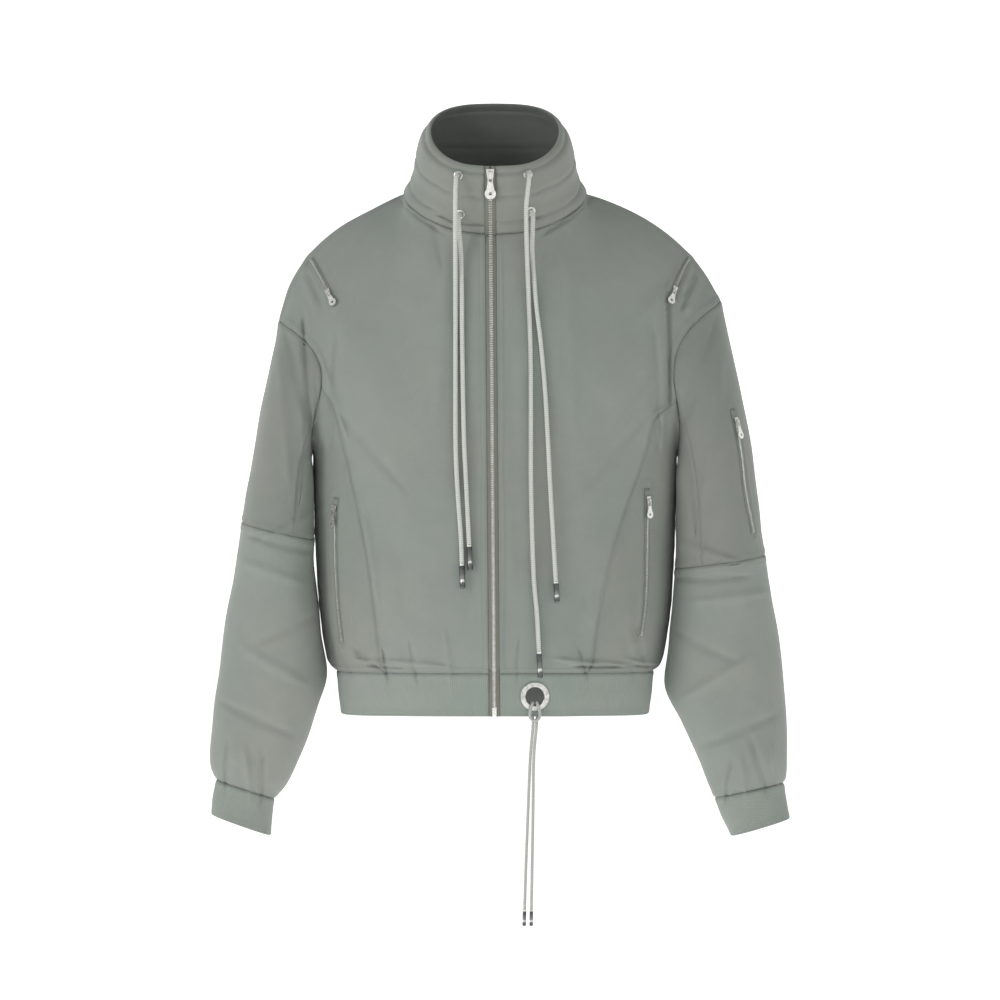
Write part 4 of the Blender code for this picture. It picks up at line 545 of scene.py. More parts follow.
def seam_share(curve, side):
    """How far across a front section the shaped side seam crosses it."""
    seam = np.array(side.seam)
    reach = np.abs(curve[:, 0])
    past = reach - np.interp(curve[:, 2], seam[:, 0], seam[:, 1])
    return np.interp(0, past, shares(curve))


def body_sections(side, face):
    """The curves across a quarter of the body, hem seam to shoulder."""
    levels = [row.z for row in BODY_ROWS[:-1]]
    turns = np.linspace(math.pi, 0, ARM_HALF + 1)
    curves = [level_curve(side, face, z) for z in levels]
    curves += [chest_curve(side, face, turn) for turn in turns]
    if face < 0:
        curves = [from_zip(curve, side) for curve in curves]
    return curves, turns


def rise_to_shoulder(points, turn, top):
    """Lifts a section near the shoulder towards the neckline and the shoulder seam."""
    near = max(0.0, 1 - math.degrees(turn) / SHOULDER_TURN)
    points[:, :2] += (top - points)[:, :2] * near ** 1.6
    points[:, 2] += (top - points)[:, 2] * near ** 2 * (3 - 2 * near)
    return points


def body_quarter(side, face):
    """Grid of a quarter of the body, and of its side front where the face is the front."""
    curves, turns = body_sections(side, face)
    top = top_edge(side, face)
    even = np.linspace(0, 1, QUARTER + 1)
    first_chest_row = len(curves) - len(turns)
    apex_row = first_chest_row + side.apex
    main, side_front = [], []
    for number, curve in enumerate(curves):
        height = max(0.0, (number - first_chest_row) / ARM_HALF)
        across = even * (1 - height) + shares(top) * height
        if face < 0 and number <= apex_row:
            reach = seam_share(curve, side)
            if number == apex_row:
                reach = 1 - APEX_WIDTH / line_length(curve)
            side_front.append(spread(curve, np.linspace(reach, 1, SIDE_CELLS + 1)))
            across = across * reach
        row = spread(curve, across)
        if number >= first_chest_row:
            turn = turns[number - first_chest_row]
            row = rise_to_shoulder(row, turn, top)
            if number != apex_row or face > 0:
                if number > apex_row or face > 0:
                    row[-1] = armhole_point(side, face, turn)
        main.append(row)
    main[-1] = top
    return np.array(main), np.array(side_front) if side_front else None


def body_half_width(y, z):
    """How far out the body's side lies at a depth and a level below the armpit."""
    row = table_at(BODY_ROWS, min(max(z, BODY_ROWS[0].z), BODY_ROWS[-1].z))
    depth = row.front if y < 0 else row.back
    inside = max(0.0, 1 - (abs(y) / depth) ** GIRTH_POWER)
    return row.half_width * inside ** (1 / GIRTH_POWER)


def sleeve_ring(row, sign):
    """Points round a sleeve: the outer end first, then the front, the inner end and the back."""
    points = []
    for k in range(ARM_POINTS):
        turn = 2 * math.pi * k / ARM_POINTS
        out = rounded(math.cos(turn), SLEEVE_POWER)
        x = (row.out_x + row.in_x) / 2 + (row.out_x - row.in_x) / 2 * out
        z = (row.out_z + row.in_z) / 2 + (row.out_z - row.in_z) / 2 * out
        x -= row.bow * hollow(turn) * (1 if k <= ARM_HALF else BACK_BOW)
        y = -row.forward - row.depth * rounded(math.sin(turn), SLEEVE_POWER)
        if BODY_ROWS[0].z - 0.02 < z < ARMPIT[1] + 0.04:
            x = max(x, body_half_width(y, z) + ARM_CLEARANCE)
        points.append((sign * x, y, z))
    return points


def armhole_ring(side):
    """The armhole as a sleeve's first ring."""
    turns = [math.pi * k / ARM_HALF for k in range(ARM_HALF + 1)]
    front = [armhole_point(side, -1, turn) for turn in turns]
    back = [armhole_point(side, 1, turn) for turn in turns]
    return front + back[-2:0:-1]


def sleeve_grids(side):
    """The rings of a sleeve from the armhole to the cuff seam, and those of its cuff."""
    sleeve = np.array([armhole_ring(side)] + [sleeve_ring(row, side.sign) for row in side.sleeve])
    cuff = np.array([sleeve[-1]] + [sleeve_ring(row, side.sign) for row in side.cuff])
    return sleeve, cuff


def collar_grid():
    """Rings of the collar from the zip round the wearer's left, the back and the right."""
    rings = []
    for row in COLLAR_ROWS:
        quarters = [[collar_point(row, sign, a) for a in collar_angles(row, sign, face)]
                    for sign, face in ((1, -1), (1, 1), (-1, 1), (-1, -1))]
        ring = quarters[0] + quarters[1][-2::-1] + quarters[2][1:] + quarters[3][-2::-1]
        rings.append(ring)
    return np.array(rings)


def band_grid(hem):
    """Rings of the hem band under the body's hem seam."""
    rings = []
    for row in BAND_ROWS:
        ring = hem.copy()
        zip_side = np.sign(ring[0, 0] - zip_x(row.z))
        ring[:, :2] *= row.share
        ring[:, 2] += row.z - BODY_ROWS[0].z
        ring[0, 0] = zip_x(row.z) + zip_side * ZIP_HALF
        ring[-1, 0] = zip_x(row.z) - zip_side * ZIP_HALF
        rings.append(ring)
    return np.array(rings)


def make_halves():
    """The surfaces of both halves of the garment, sharing one back."""
    backs = {side.name: body_quarter(side, 1)[0] for side in SIDES}
    back = np.concatenate([backs["right"][:, :0:-1], backs["left"]], axis=1)
    relax(back, RELAX_ROUNDS)
    back = shape_cloth(back)
    halves = []
    for side in SIDES:
        front, flank = body_quarter(side, -1)
        relax_front(front, flank)
        front, flank = shape_cloth(front), shape_cloth(flank)
        sleeve, cuff = (shape_cloth(grid) for grid in sleeve_grids(side))
        half_back = back[:, QUARTER:] if side.sign > 0 else back[:, QUARTER::-1]
        halves.append(Half(side, front, flank, half_back, sleeve, cuff))
    return halves, back


def hem_ring(halves):
    """The hem seam from the zip round the wearer's left, the back and the right."""
    left, right = halves
    return np.vstack([left.front[0], left.flank[0, 1:], left.back[0, -2::-1],
                      right.back[0, 1:], right.flank[0, -2::-1], right.front[0, -2::-1]])


# ---------------------------------------------------------------- fine cloth


EDGE_CUTS = np.array((0.035, 0.075, 0.12, 0.18, 0.25, 0.34, 0.44))   # within the last cell


def cuts(count, per_cell, closed=False):
    """Places along a grid's rows or columns, closer together near both edges."""
    if closed:
        return np.arange(count * per_cell) / per_cell
    even = np.linspace(0, count - 1, (count - 1) * per_cell + 1)
    return np.unique(np.round(np.concatenate([even, EDGE_CUTS, count - 1 - EDGE_CUTS]), 5))


def fine_grid(grid, per_row, per_column, closed=False):
    """The fine surface of a piece."""
    fine = grown(grid, cuts(len(grid), per_row))
    turned = grown(fine.transpose(1, 0, 2), cuts(grid.shape[1], per_column, closed), closed)
    return np.ascontiguousarray(turned.transpose(1, 0, 2))


def runs(grid, axis):
    """How far along its rows or columns each point lies, in metres."""
    steps = np.linalg.norm(np.diff(grid, axis=axis), axis=2)
    shape = list(steps.shape)
    shape[axis] = 1
    return np.concatenate([np.zeros(shape), np.cumsum(steps, axis=axis)], axis=axis)


def edge_reach(grid, edges):
    """How far each point lies from the nearest of the named edges."""
    down, across = runs(grid, 0), runs(grid, 1)
    found = {"first_row": down, "last_row": down[-1:] - down,
             "first_column": across, "last_column": across[:, -1:] - across}
    reach = np.full(grid.shape[:2], 1.0)
    for edge in edges:
        reach = np.minimum(reach, found[edge])
    return reach


def bump(reach, middle, half_width):
    """A rounded ridge at a distance from an edge."""
    return np.exp(-((reach - middle) / half_width) ** 2)


def soft_noise(points, size, seed):
    """Slow, even unevenness between -1 and 1: a sum of waves in fixed odd directions."""
    rng = np.random.default_rng(seed)
    total = np.zeros(points.shape[:-1])
    for _ in range(9):
        way = rng.normal(size=3)
        way *= 2 * math.pi / size * rng.uniform(0.6, 1.5) / np.linalg.norm(way)
        total += np.sin(points @ way + rng.uniform(0, 2 * math.pi))
    return total / 4.5


def lay_creases(points):
    """Lays short soft creases into the cloth, each along its own line on one face."""
    x, y, z = points[..., 0], points[..., 1], points[..., 2]
    moved = points.copy()
    for fold in CREASES:
        aside, past, share = beside_fold(x, z, fold)
        taper = np.clip(1 - np.abs(share - 0.5) * 0.7, 0.3, 1)
        width = fold.half_width * taper
        height = np.exp(-(aside / width) ** 2 - (past / (3 * fold.half_width)) ** 2)
        moved[..., 1] += np.where(y * fold.face > 0, fold.face * fold.out * CREASE_DEPTH * height, 0)
    return moved


def line_reach(points, line):
    """The distance of each point from a line."""
    flat = points.reshape(-1, 3)
    nearest = np.full(len(flat), 1.0)
    for place in line:
        nearest = np.minimum(nearest, np.linalg.norm(flat - place, axis=1))
    return nearest.reshape(points.shape[:-1])


Sewing = namedtuple("Sewing", "seams open_edges groove puff pucker wave channels")
Calm = namedtuple("Calm", "zips eyelets hem_eyelet")
GROOVE_HALF = 0.0017      # half the width of the groove at a seam
PUFF_AT = 0.0050          # from a seam to the soft ridge beside it
GATHER_REACH = 0.016      # how far a seam's gathers run into the cloth
CALM_FROM, CALM_OVER = 0.007, 0.022   # flat as far from a zip or eyelet, then free over a width
HEM_CALM = 0.014          # more of the flat cloth round the hem's large eyelet
FREE_OVER = 0.03          # from an edge, the width over which the cloth's waves set in
ZIP_LIP_AT = 0.0085       # from a zip's middle to the lip of cloth beside it
ZIP_BED = 0.0056          # half the width of the flat bed under a zip


def stillness(points, calm):
    """Zero beside zips and eyelets, where the cloth lies flat, and one away from them."""
    away = np.full(points.shape[:2], 1.0)
    for line in calm.zips + [np.array([place]) for place in calm.eyelets]:
        away = np.minimum(away, line_reach(points, line))
    hem = line_reach(points, calm.hem_eyelet[None]) - HEM_CALM
    away = np.minimum(away, np.clip(hem, 0, 1))
    return np.clip((away - CALM_FROM) / CALM_OVER, 0, 1) ** 1.5


def sew(points, normals, sewing, calm):
    """Sinks a piece into its seams, puffs it beside them and gathers it slightly along them."""
    reach = edge_reach(points, sewing.seams)
    loose = edge_reach(points, sewing.open_edges)
    still = stillness(points, calm)
    gather = soft_noise(points, 0.017, 5) * 0.6 + soft_noise(points, 0.041, 6) * 0.4
    lift = -sewing.groove * bump(reach, 0.0, GROOVE_HALF)
    lift += sewing.puff * bump(reach, PUFF_AT, 0.0040) * (1 + 0.5 * gather)
    lift += sewing.puff * bump(loose, PUFF_AT, 0.0030) * 0.8
    gathered = np.exp(-reach / GATHER_REACH) * np.clip(reach / 0.004, 0, 1)
    lift += sewing.pucker * gather * gathered * still
    free = still * np.clip(np.minimum(reach, loose) / FREE_OVER, 0, 1)
    lift += sewing.wave * soft_noise(points, 0.16, 7) * free
    lift += 0.35 * sewing.wave * soft_noise(points, 0.07, 8) * free
    for line in calm.zips:
        away = line_reach(points, line)
        lift += 0.0010 * bump(away, ZIP_LIP_AT, 0.0024) - 0.0008 * np.exp(-(away / ZIP_BED) ** 4)
    return points + normals * lift[..., None], np.minimum(reach, loose), gather


def wall_shares(points, sewing, wall, gather):
    """The wall's thickness: rounded off at open edges, pinched at channel stitches."""
    loose = edge_reach(points, sewing.open_edges)
    inside = np.clip(1 - loose / (wall * 0.6), 0, 1)
    shares_left = np.clip(np.sqrt(1 - inside ** 2), 0.18, 1)
    plump = np.zeros(points.shape[:2])
    for edge, distance in sewing.channels:
        away = np.abs(edge_reach(points, (edge,)) - distance)
        plump += -0.42 * bump(away, 0.0, 0.0016) + 0.26 * bump(away, 0.0060, 0.0048)
        plump += 0.16 * gather * np.exp(-away / 0.006)
    return shares_left, plump


def put(name, data):
    """A new object in the scene."""
    made = bpy.data.objects.new(name, data)
    bpy.context.scene.collection.objects.link(made)
    return made


def wear_piece(piece, slot, *replaced):
    """Puts a piece on the garment, in place of the solids that it stands for."""
    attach(piece, "garment")
    if replaced:
        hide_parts(*replaced)


def put_piece(name, vertices, faces, material, uv=None, seam_shade_amount=None):
    """A finished piece with its place in its mesh, smooth, with its own UV map in metres."""
    mesh = bpy.data.meshes.new(name)
    mesh.from_pydata(np.asarray(vertices, float).tolist(), [], faces)
    mesh.shade_smooth()
    if uv is not None:
        layer = mesh.uv_layers.new(name="cloth_grain")
        corner = np.empty(len(mesh.loops), np.int32)
        mesh.loops.foreach_get("vertex_index", corner)
        layer.data.foreach_set("uv", np.asarray(uv, np.float32)[corner].ravel())
    # painted shade: how much darker the cloth is near its seams
    if seam_shade_amount is not None:
        marks = mesh.attributes.new("seam_shade", "FLOAT", "POINT")
        marks.data.foreach_set("value", np.asarray(seam_shade_amount, np.float32).ravel())
    mesh.materials.append(material)
    return put(name, mesh)


SEAM_SHADE_REACH = 0.0035       # how far from a seam the painted shade of its groove reaches


def wall_piece(name, outer, inner, material, closed=False, reach=None, inner_material=None,
               straight=False):
    """The wall between two grids of points, closed all round its edges.

    A straight piece has its grain along its columns, as a rib knit band has."""
    rows, columns = outer.shape[:2]
    layer = rows * columns
    index = np.arange(layer).reshape(rows, columns)
    after = np.roll(index, -1, axis=1) if closed else index[:, 1:]
    before = index if closed else index[:, :-1]
    quads = np.stack([before[:-1], after[:-1], after[1:], before[1:]], axis=-1).reshape(-1, 4)
    a, b, d = (outer.reshape(-1, 3)[quads[:, k]] for k in (0, 1, 3))
    out = (outer - inner).reshape(-1, 3)[quads[:, 0]]
    if np.sum(np.cross(b - a, d - a) * out) < 0:
        quads = quads[:, ::-1]
    faces = quads.tolist() + (quads[:, ::-1] + layer).tolist()
    rim = [(before[0], after[0]), (after[-1], before[-1])]
    if not closed:
        rim += [(index[1:, 0], index[:-1, 0]), (index[:-1, -1], index[1:, -1])]
    for start, end in rim:
        faces += np.stack([start, start + layer, end + layer, end], axis=-1).tolist()
    down, across = runs(outer, 0), runs(outer, 1)
    if straight:
        across = across / across[:, -1:] * across[:, -1].mean()
    across = across - across[:, columns // 2][:, None]
    uv = np.stack([across, down], axis=-1).reshape(-1, 2)
    # painted shade: darkest at a seam, gone a few millimetres from it
    seam_shade_amount = np.exp(-(np.ones((rows, columns)) if reach is None else reach) / SEAM_SHADE_REACH).ravel()
    vertices = np.vstack([outer.reshape(-1, 3), inner.reshape(-1, 3)])
    piece = put_piece(name, vertices, faces, material, np.vstack([uv, uv]),
                      np.concatenate([seam_shade_amount, seam_shade_amount]))
    face_outwards(piece)
    if inner_material is not None:
        piece.data.materials.append(inner_material)
        slots = np.zeros(len(piece.data.polygons), np.int32)
        slots[len(quads):2 * len(quads)] = 1
        piece.data.polygons.foreach_set("material_index", slots)
    return piece


def face_outwards(piece, merge=False):
    """Turns all faces of a closed piece outwards, after its doubles are merged if it has any."""
    shaped = bmesh.new()
    shaped.from_mesh(piece.data)
    if merge:
        bmesh.ops.remove_doubles(shaped, verts=shaped.verts, dist=1e-6)
    bmesh.ops.recalc_face_normals(shaped, faces=shaped.faces)
    shaped.to_mesh(piece.data)
    shaped.free()


def rounded_up(grid, closed=True):
    """A grid with its first column set at its end too, where it runs right round."""
    return np.concatenate([grid, grid[:, :1]], axis=1) if closed else grid


CLOTH_WALL = 0.0012
BAND_WALL = 0.0022
COLLAR_WALL = 0.0030
ALL_EDGES = ("first_row", "last_row", "first_column", "last_column")
Outer = namedtuple("Outer", "points normals closed")
SEWN = {}                 # the outer face of each sewn piece


def sewn_piece(name, grid, sign, sewing, material, *, calm, inner_material, wall=CLOTH_WALL,
               closed=False, per=(10, 6), slot="shell_cloth"):
    """One cut piece of the garment, in place of its solid."""
    base = lay_creases(fine_grid(grid, *per, closed))
    outer, reach, gather = sew(base, grid_normals(base, sign, closed), sewing, calm)
    normals = grid_normals(outer, sign, closed)
    left, plump = wall_shares(base, sewing, wall, gather)
    inner = outer - normals * (wall * (0.5 + 0.5 * left + plump))[..., None]
    outer = outer - normals * (wall * (0.5 - 0.5 * left - plump))[..., None]
    piece = wall_piece(name + "_cloth", outer, inner, material, closed, reach, inner_material,
                       straight=wall == BAND_WALL)
    wear_piece(piece, slot, name)
    SEWN[name] = Outer(outer, normals, closed)
    return piece


# ---------------------------------------------------------------- finishes


def node(tree, kind, inputs=None, **settings):
    """A shader or geometry node with its settings and its inputs' values or links."""
    made = tree.nodes.new(kind)
    for key, value in settings.items():
        setattr(made, key, value)
    for key, value in (inputs or {}).items():
        if isinstance(value, bpy.types.NodeSocket):
            tree.links.new(value, made.inputs[key])
        else:
            made.inputs[key].default_value = value
    return made


def finish(name, roughness, metallic=0.0, sheen=0.0, sheen_roughness=0.5):
    """A new material, its tree and its shader."""
    material = bpy.data.materials.new(name)
    material.use_nodes = True
    tree = material.node_tree
    shader = tree.nodes["Principled BSDF"]
    shader.inputs["Roughness"].default_value = roughness
    shader.inputs["Metallic"].default_value = metallic
    shader.inputs["Sheen Weight"].default_value = sheen
    shader.inputs["Sheen Roughness"].default_value = sheen_roughness
    return material, tree, shader


def blend(tree, share, first, second):
    """Two colours mixed by a share."""
    return node(tree, "ShaderNodeMix", {0: share, 6: first, 7: second}, data_type="RGBA").outputs[2]


def toned(colour, factor=1.0):
    """A colour made darker or lighter, as a socket takes it."""
    return (*(min(1, value * factor) for value in colour), 1)


def span(tree, value, low, high, to_low=0.0, to_high=1.0):
    """A value moved from one range to another."""
    return node(tree, "ShaderNodeMapRange", {0: value, 1: low, 2: high, 3: to_low, 4: to_high}).outputs[0]


def math_node(tree, how, first, second=0.0):
    """One step of arithmetic."""
    return node(tree, "ShaderNodeMath", {0: first, 1: second}, operation=how).outputs[0]


def wave(tree, value, length):
    """A sine along a value, by the length of its wave."""
    return math_node(tree, "SINE", math_node(tree, "MULTIPLY", value, 2 * math.pi / length))


def noise(tree, place, scale, detail=2.0, roughness=0.5):
    """Unevenness: the larger the scale, the finer."""
    return node(tree, "ShaderNodeTexNoise", {"Vector": place, "Scale": scale, "Detail": detail,
                                             "Roughness": roughness}).outputs[0]


def places(tree):
    """A point's place on the garment, and how far across and down its piece it lies."""
    place = node(tree, "ShaderNodeTexCoord").outputs["Object"]
    grain = node(tree, "ShaderNodeUVMap", uv_map="cloth_grain").outputs[0]
    split = node(tree, "ShaderNodeSeparateXYZ", {0: grain})
    return place, split.outputs[0], split.outputs[1]


def complete(tree, shader, colour, height, strength, distance):
    """Gives a shader its colour and its low relief."""
    relief = node(tree, "ShaderNodeBump", {"Height": height, "Strength": strength, "Distance": distance})
    tree.links.new(colour, shader.inputs["Base Color"])
    tree.links.new(relief.outputs[0], shader.inputs["Normal"])


WALE, COURSE = 0.0011, 0.0009    # the knit's pitch across and down
HERRINGBONE = 0.0008             # a zip tape's


def cloth_finish(name, green, warm, rib_pitch=None, depth=1.0):
    """Washed cotton sweat cloth: slow patches of tint, a speckle of fibres, painted shade along the seams."""
    material, tree, shader = finish(name, 0.88, sheen=0.18, sheen_roughness=0.45)
    place, across, down = places(tree)
    fibres = noise(tree, place, 620.0, 2.0, 0.7)
    patches = span(tree, noise(tree, place, 5.5, 3.0, 0.55), 0.36, 0.64)
    wash = span(tree, noise(tree, place, 46.0, 4.0, 0.6), 0.30, 0.72, 0.0, 0.22)
    shade_at_seams = node(tree, "ShaderNodeAttribute", attribute_name="seam_shade").outputs["Fac"]
    colour = blend(tree, patches, toned(green), toned(warm))
    colour = blend(tree, wash, colour, toned(green, 0.78))
    colour = blend(tree, span(tree, fibres, 0.42, 0.75, 0.0, 0.30), colour, toned(warm, 1.22))
    # darker near the seams: painted shade in their grooves
    colour = blend(tree, span(tree, shade_at_seams, 0.0, 1.0, 0.0, 0.16), colour, toned(green, 0.62))
    weave = math_node(tree, "MULTIPLY", wave(tree, across, WALE), wave(tree, down, COURSE))
    height = math_node(tree, "ADD", math_node(tree, "MULTIPLY", weave, 0.35), fibres)
    if rib_pitch:
        ribs = wave(tree, across, rib_pitch)
        height = math_node(tree, "ADD", math_node(tree, "MULTIPLY", ribs, 0.9), height)
        # darker in the troughs between the ribs: painted shade
        colour = blend(tree, span(tree, ribs, -1.0, 0.2, 0.07, 0.0), colour, toned(green, 0.60))
    tree.links.new(span(tree, fibres, 0.3, 0.7, 0.82, 0.96), shader.inputs["Roughness"])
    complete(tree, shader, colour, height, 0.55, 0.00022 * depth)
    return material


def tape_finish(name, colour):
    """Woven zip tape: a fine herringbone."""
    material, tree, shader = finish(name, 0.85, sheen=0.1)
    place, across, down = places(tree)
    zigzag = math_node(tree, "PINGPONG", across, WALE)
    weave = wave(tree, math_node(tree, "ADD", down, zigzag), HERRINGBONE)
    fibres = noise(tree, place, 300.0, 3.0)
    # darker where the weave lies low: painted shade between the threads
    shade = blend(tree, span(tree, weave, -1.0, 1.0, 0.0, 0.5), toned(colour), toned(colour, 0.72))
    shade = blend(tree, span(tree, fibres, 0.35, 0.7, 0.0, 0.35), shade, toned(colour, 1.3))
    complete(tree, shader, shade, weave, 0.6, 0.0002)
    return material


def metal_finish(name, bright, dull, roughness):
    """Plated metal: slow dull patches, fine scratches, rubbed edges."""
    material, tree, shader = finish(name, roughness, metallic=1.0)
    place = node(tree, "ShaderNodeTexCoord").outputs["Object"]
    slow = noise(tree, place, 210.0, 3.0)
    stretch = node(tree, "ShaderNodeMapping", {"Vector": place, "Scale": (1.0, 1.0, 0.12)}).outputs[0]
    scratches = noise(tree, stretch, 2520.0)
    edge = node(tree, "ShaderNodeNewGeometry").outputs["Pointiness"]
    colour = blend(tree, span(tree, slow, 0.38, 0.66), toned(bright), toned(dull))
    colour = blend(tree, span(tree, edge, 0.52, 0.60, 0.0, 0.5), colour, (0.86, 0.85, 0.82, 1))
    tree.links.new(span(tree, scratches, 0.3, 0.7, roughness * 0.7, roughness * 1.5),
                   shader.inputs["Roughness"])
    complete(tree, shader, colour, scratches, 0.25, 0.00005)
    return material


def cord_finish(name, pale, shade, strands, diameter):
    """Braided cotton cord: strands that cross in a diamond pattern."""
    material, tree, shader = finish(name, 0.86, sheen=0.25)
    place, across, down = places(tree)
    turn = math_node(tree, "MULTIPLY", across, strands / diameter)
    along = math_node(tree, "MULTIPLY", down, 2 * math.pi / (diameter * 0.95))
    one, other = (math_node(tree, "SINE", math_node(tree, how, turn, along)) for how in ("ADD", "SUBTRACT"))
    braid = math_node(tree, "MULTIPLY", one, other)
    fibres = noise(tree, place, 900.0)
    # darker where the braid lies low between its strands: painted shade
    colour = blend(tree, span(tree, braid, -0.7, 0.5), toned(shade), toned(pale))
    colour = blend(tree, span(tree, fibres, 0.4, 0.75, 0.0, 0.3), colour, toned(pale, 1.2))
    height = math_node(tree, "ADD", braid, math_node(tree, "MULTIPLY", fibres, 0.4))
    complete(tree, shader, colour, height, 0.8, 0.0004)
    return material


# ---------------------------------------------------------------- rows of stitches and teeth


def row_tree(name, tube):
    """Places one small rounded piece at even steps along lines, turned with them.

    A tube is a thread stitch; otherwise the piece is a rounded block, as a zip's tooth is."""
    tree = bpy.data.node_groups.new(name, "GeometryNodeTree")
    face = tree.interface
    face.new_socket("Geometry", in_out="INPUT", socket_type="NodeSocketGeometry")
    for label in ("step", "length", "width", "height"):
        face.new_socket(label, in_out="INPUT", socket_type="NodeSocketFloat")
    face.new_socket("finish", in_out="INPUT", socket_type="NodeSocketMaterial")
    face.new_socket("Geometry", in_out="OUTPUT", socket_type="NodeSocketGeometry")
    given = node(tree, "NodeGroupInput").outputs
    curve = node(tree, "GeometryNodeMeshToCurve", {"Mesh": given["Geometry"]})
    even = node(tree, "GeometryNodeResampleCurve", {"Curve": curve.outputs[0]}, mode="LENGTH")
    tree.links.new(given["step"], even.inputs["Length"])
    if tube:
        shape = node(tree, "GeometryNodeMeshUVSphere", {"Segments": 5, "Rings": 3, "Radius": 0.5})
        shape = shape.outputs["Mesh"]
    else:
        cube = node(tree, "GeometryNodeMeshCube", {"Size": (1.0, 1.0, 1.0)})
        round_off = node(tree, "GeometryNodeSubdivisionSurface",
                         {"Mesh": cube.outputs["Mesh"], "Level": 1, "Edge Crease": 0.55})
        shape = round_off.outputs["Mesh"]
    size = node(tree, "ShaderNodeCombineXYZ", {0: given["length"], 1: given["width"],
                                               2: given["height"]})
    sized = node(tree, "GeometryNodeTransform", {"Geometry": shape, "Scale": size.outputs[0]})
    tangent = node(tree, "GeometryNodeInputTangent").outputs[0]
    outward = node(tree, "GeometryNodeInputNamedAttribute", {"Name": "outward"},
                   data_type="FLOAT_VECTOR").outputs[0]
    turned = node(tree, "FunctionNodeAlignRotationToVector", {"Vector": tangent}, axis="X")
    seated = node(tree, "FunctionNodeAlignRotationToVector",
                  {"Rotation": turned.outputs[0], "Vector": outward}, axis="Z", pivot_axis="X")
    placed = node(tree, "GeometryNodeInstanceOnPoints",
                  {"Points": even.outputs[0], "Instance": sized.outputs[0],
                   "Rotation": seated.outputs[0]})
    whole = node(tree, "GeometryNodeRealizeInstances", {"Geometry": placed.outputs[0]})
    smooth = node(tree, "GeometryNodeSetShadeSmooth", {"Geometry": whole.outputs[0]})
    done = node(tree, "GeometryNodeSetMaterial", {"Geometry": smooth.outputs[0],
                                                  "Material": given["finish"]})
    node(tree, "NodeGroupOutput", {"Geometry": done.outputs[0]})
    return tree


def row_piece(name, tree, lines, material, slot, replaced=(), **sizes):
    """Turns lines, each of points and outward normals, into one mesh of small pieces."""
    mesh = bpy.data.meshes.new(name + "_lines")
    points = np.vstack([line for line, _ in lines])
    outward = np.vstack([normals for _, normals in lines])
    edges, start = [], 0
    for line, _ in lines:
        edges += [(start + k, start + k + 1) for k in range(len(line) - 1)]
        start += len(line)
    mesh.from_pydata(points.tolist(), edges, [])
    field = mesh.attributes.new("outward", "FLOAT_VECTOR", "POINT")
    field.data.foreach_set("vector", outward.astype(np.float32).ravel())
    rows = put(name + "_rows", mesh)
    modifier = rows.modifiers.new("rows", "NODES")
    modifier.node_group = tree
    for socket in tree.interface.items_tree:
        if socket.in_out == "INPUT" and socket.name in sizes:
            modifier[socket.identifier] = sizes[socket.name]
        if socket.in_out == "INPUT" and socket.name == "finish":
            modifier[socket.identifier] = material
    rows.update_tag()
    bpy.context.view_layer.update()
    made = bpy.data.meshes.new_from_object(
        rows.evaluated_get(bpy.context.evaluated_depsgraph_get()))
    bpy.data.objects.remove(rows)
    made.name = name
    wear_piece(put(name, made), slot, *replaced)


# ---------------------------------------------------------------- cords and turned metal


def frames_along(points):
    """Two steady side directions for every point of a line."""
    ways = np.gradient(points, axis=0)
    ways /= np.linalg.norm(ways, axis=1, keepdims=True)
    side = np.cross(ways[0], (0.0, 1.0, 0.0))
    if np.linalg.norm(side) < 0.2:
        side = np.cross(ways[0], (1.0, 0.0, 0.0))
    sides = []
    for way in ways:
        side = side - way * np.dot(side, way)
        side = side / np.linalg.norm(side)
        sides.append(side)
    sides = np.array(sides)
    return sides, np.cross(ways, sides)


CORD_STEP = 0.0022        # between the rings of a cord


def cord_piece(name, route, diameter, material):
    """A round cord along a route, returned with its length."""
    points = spline(route)
    length = line_length(points)
    count = max(8, int(length / CORD_STEP))
    points = spread(points, np.linspace(0, 1, count))
    sides, ups = frames_along(points)
    steps = 12                # round the cord
    turns = np.arange(steps) * 2 * math.pi / steps
    swell = 1 + 0.018 * np.sin(np.arange(count) * 2.1)
    rings = points[:, None] + diameter / 2 * swell[:, None, None] * (
        np.cos(turns)[None, :, None] * sides[:, None] + np.sin(turns)[None, :, None] * ups[:, None])
    index = np.arange(count * steps).reshape(count, steps)
    after = np.roll(index, -1, axis=1)
    quads = np.stack([index[:-1], after[:-1], after[1:], index[1:]], axis=-1).reshape(-1, 4).tolist()
    faces = quads + [index[0, ::-1].tolist(), index[-1].tolist()]
    along = np.linspace(0, length, count)
    uv = np.stack(np.broadcast_arrays(turns[None] * diameter / 2, along[:, None]), axis=-1)
    piece = put_piece(name + "_braid", rings.reshape(-1, 3), faces, material, uv.reshape(-1, 2))
    face_outwards(piece)
    wear_piece(piece, "cord", name)
    return piece, points, length


def turned_mesh(name, profile, steps, matrix, material, closed):
    """A round piece from a profile of radii and heights along the seat's Z axis."""
    count = len(profile)
    vertices, faces = [], []
    for k in range(steps):
        turn = 2 * math.pi * k / steps
        for radius, height in profile:
            vertices.append(matrix @ Vector((radius * math.cos(turn), radius * math.sin(turn), height)))
    last = count if closed else count - 1
    for k in range(steps):
        here, there = k * count, (k + 1) % steps * count
        for j in range(last):
            after = (j + 1) % count
            faces.append((here + j, there + j, there + after, here + after))
    piece = put_piece(name, [tuple(v) for v in vertices], faces, material)
    face_outwards(piece, merge=True)
    piece.data.set_sharp_from_angle(angle=math.radians(50))
    return piece


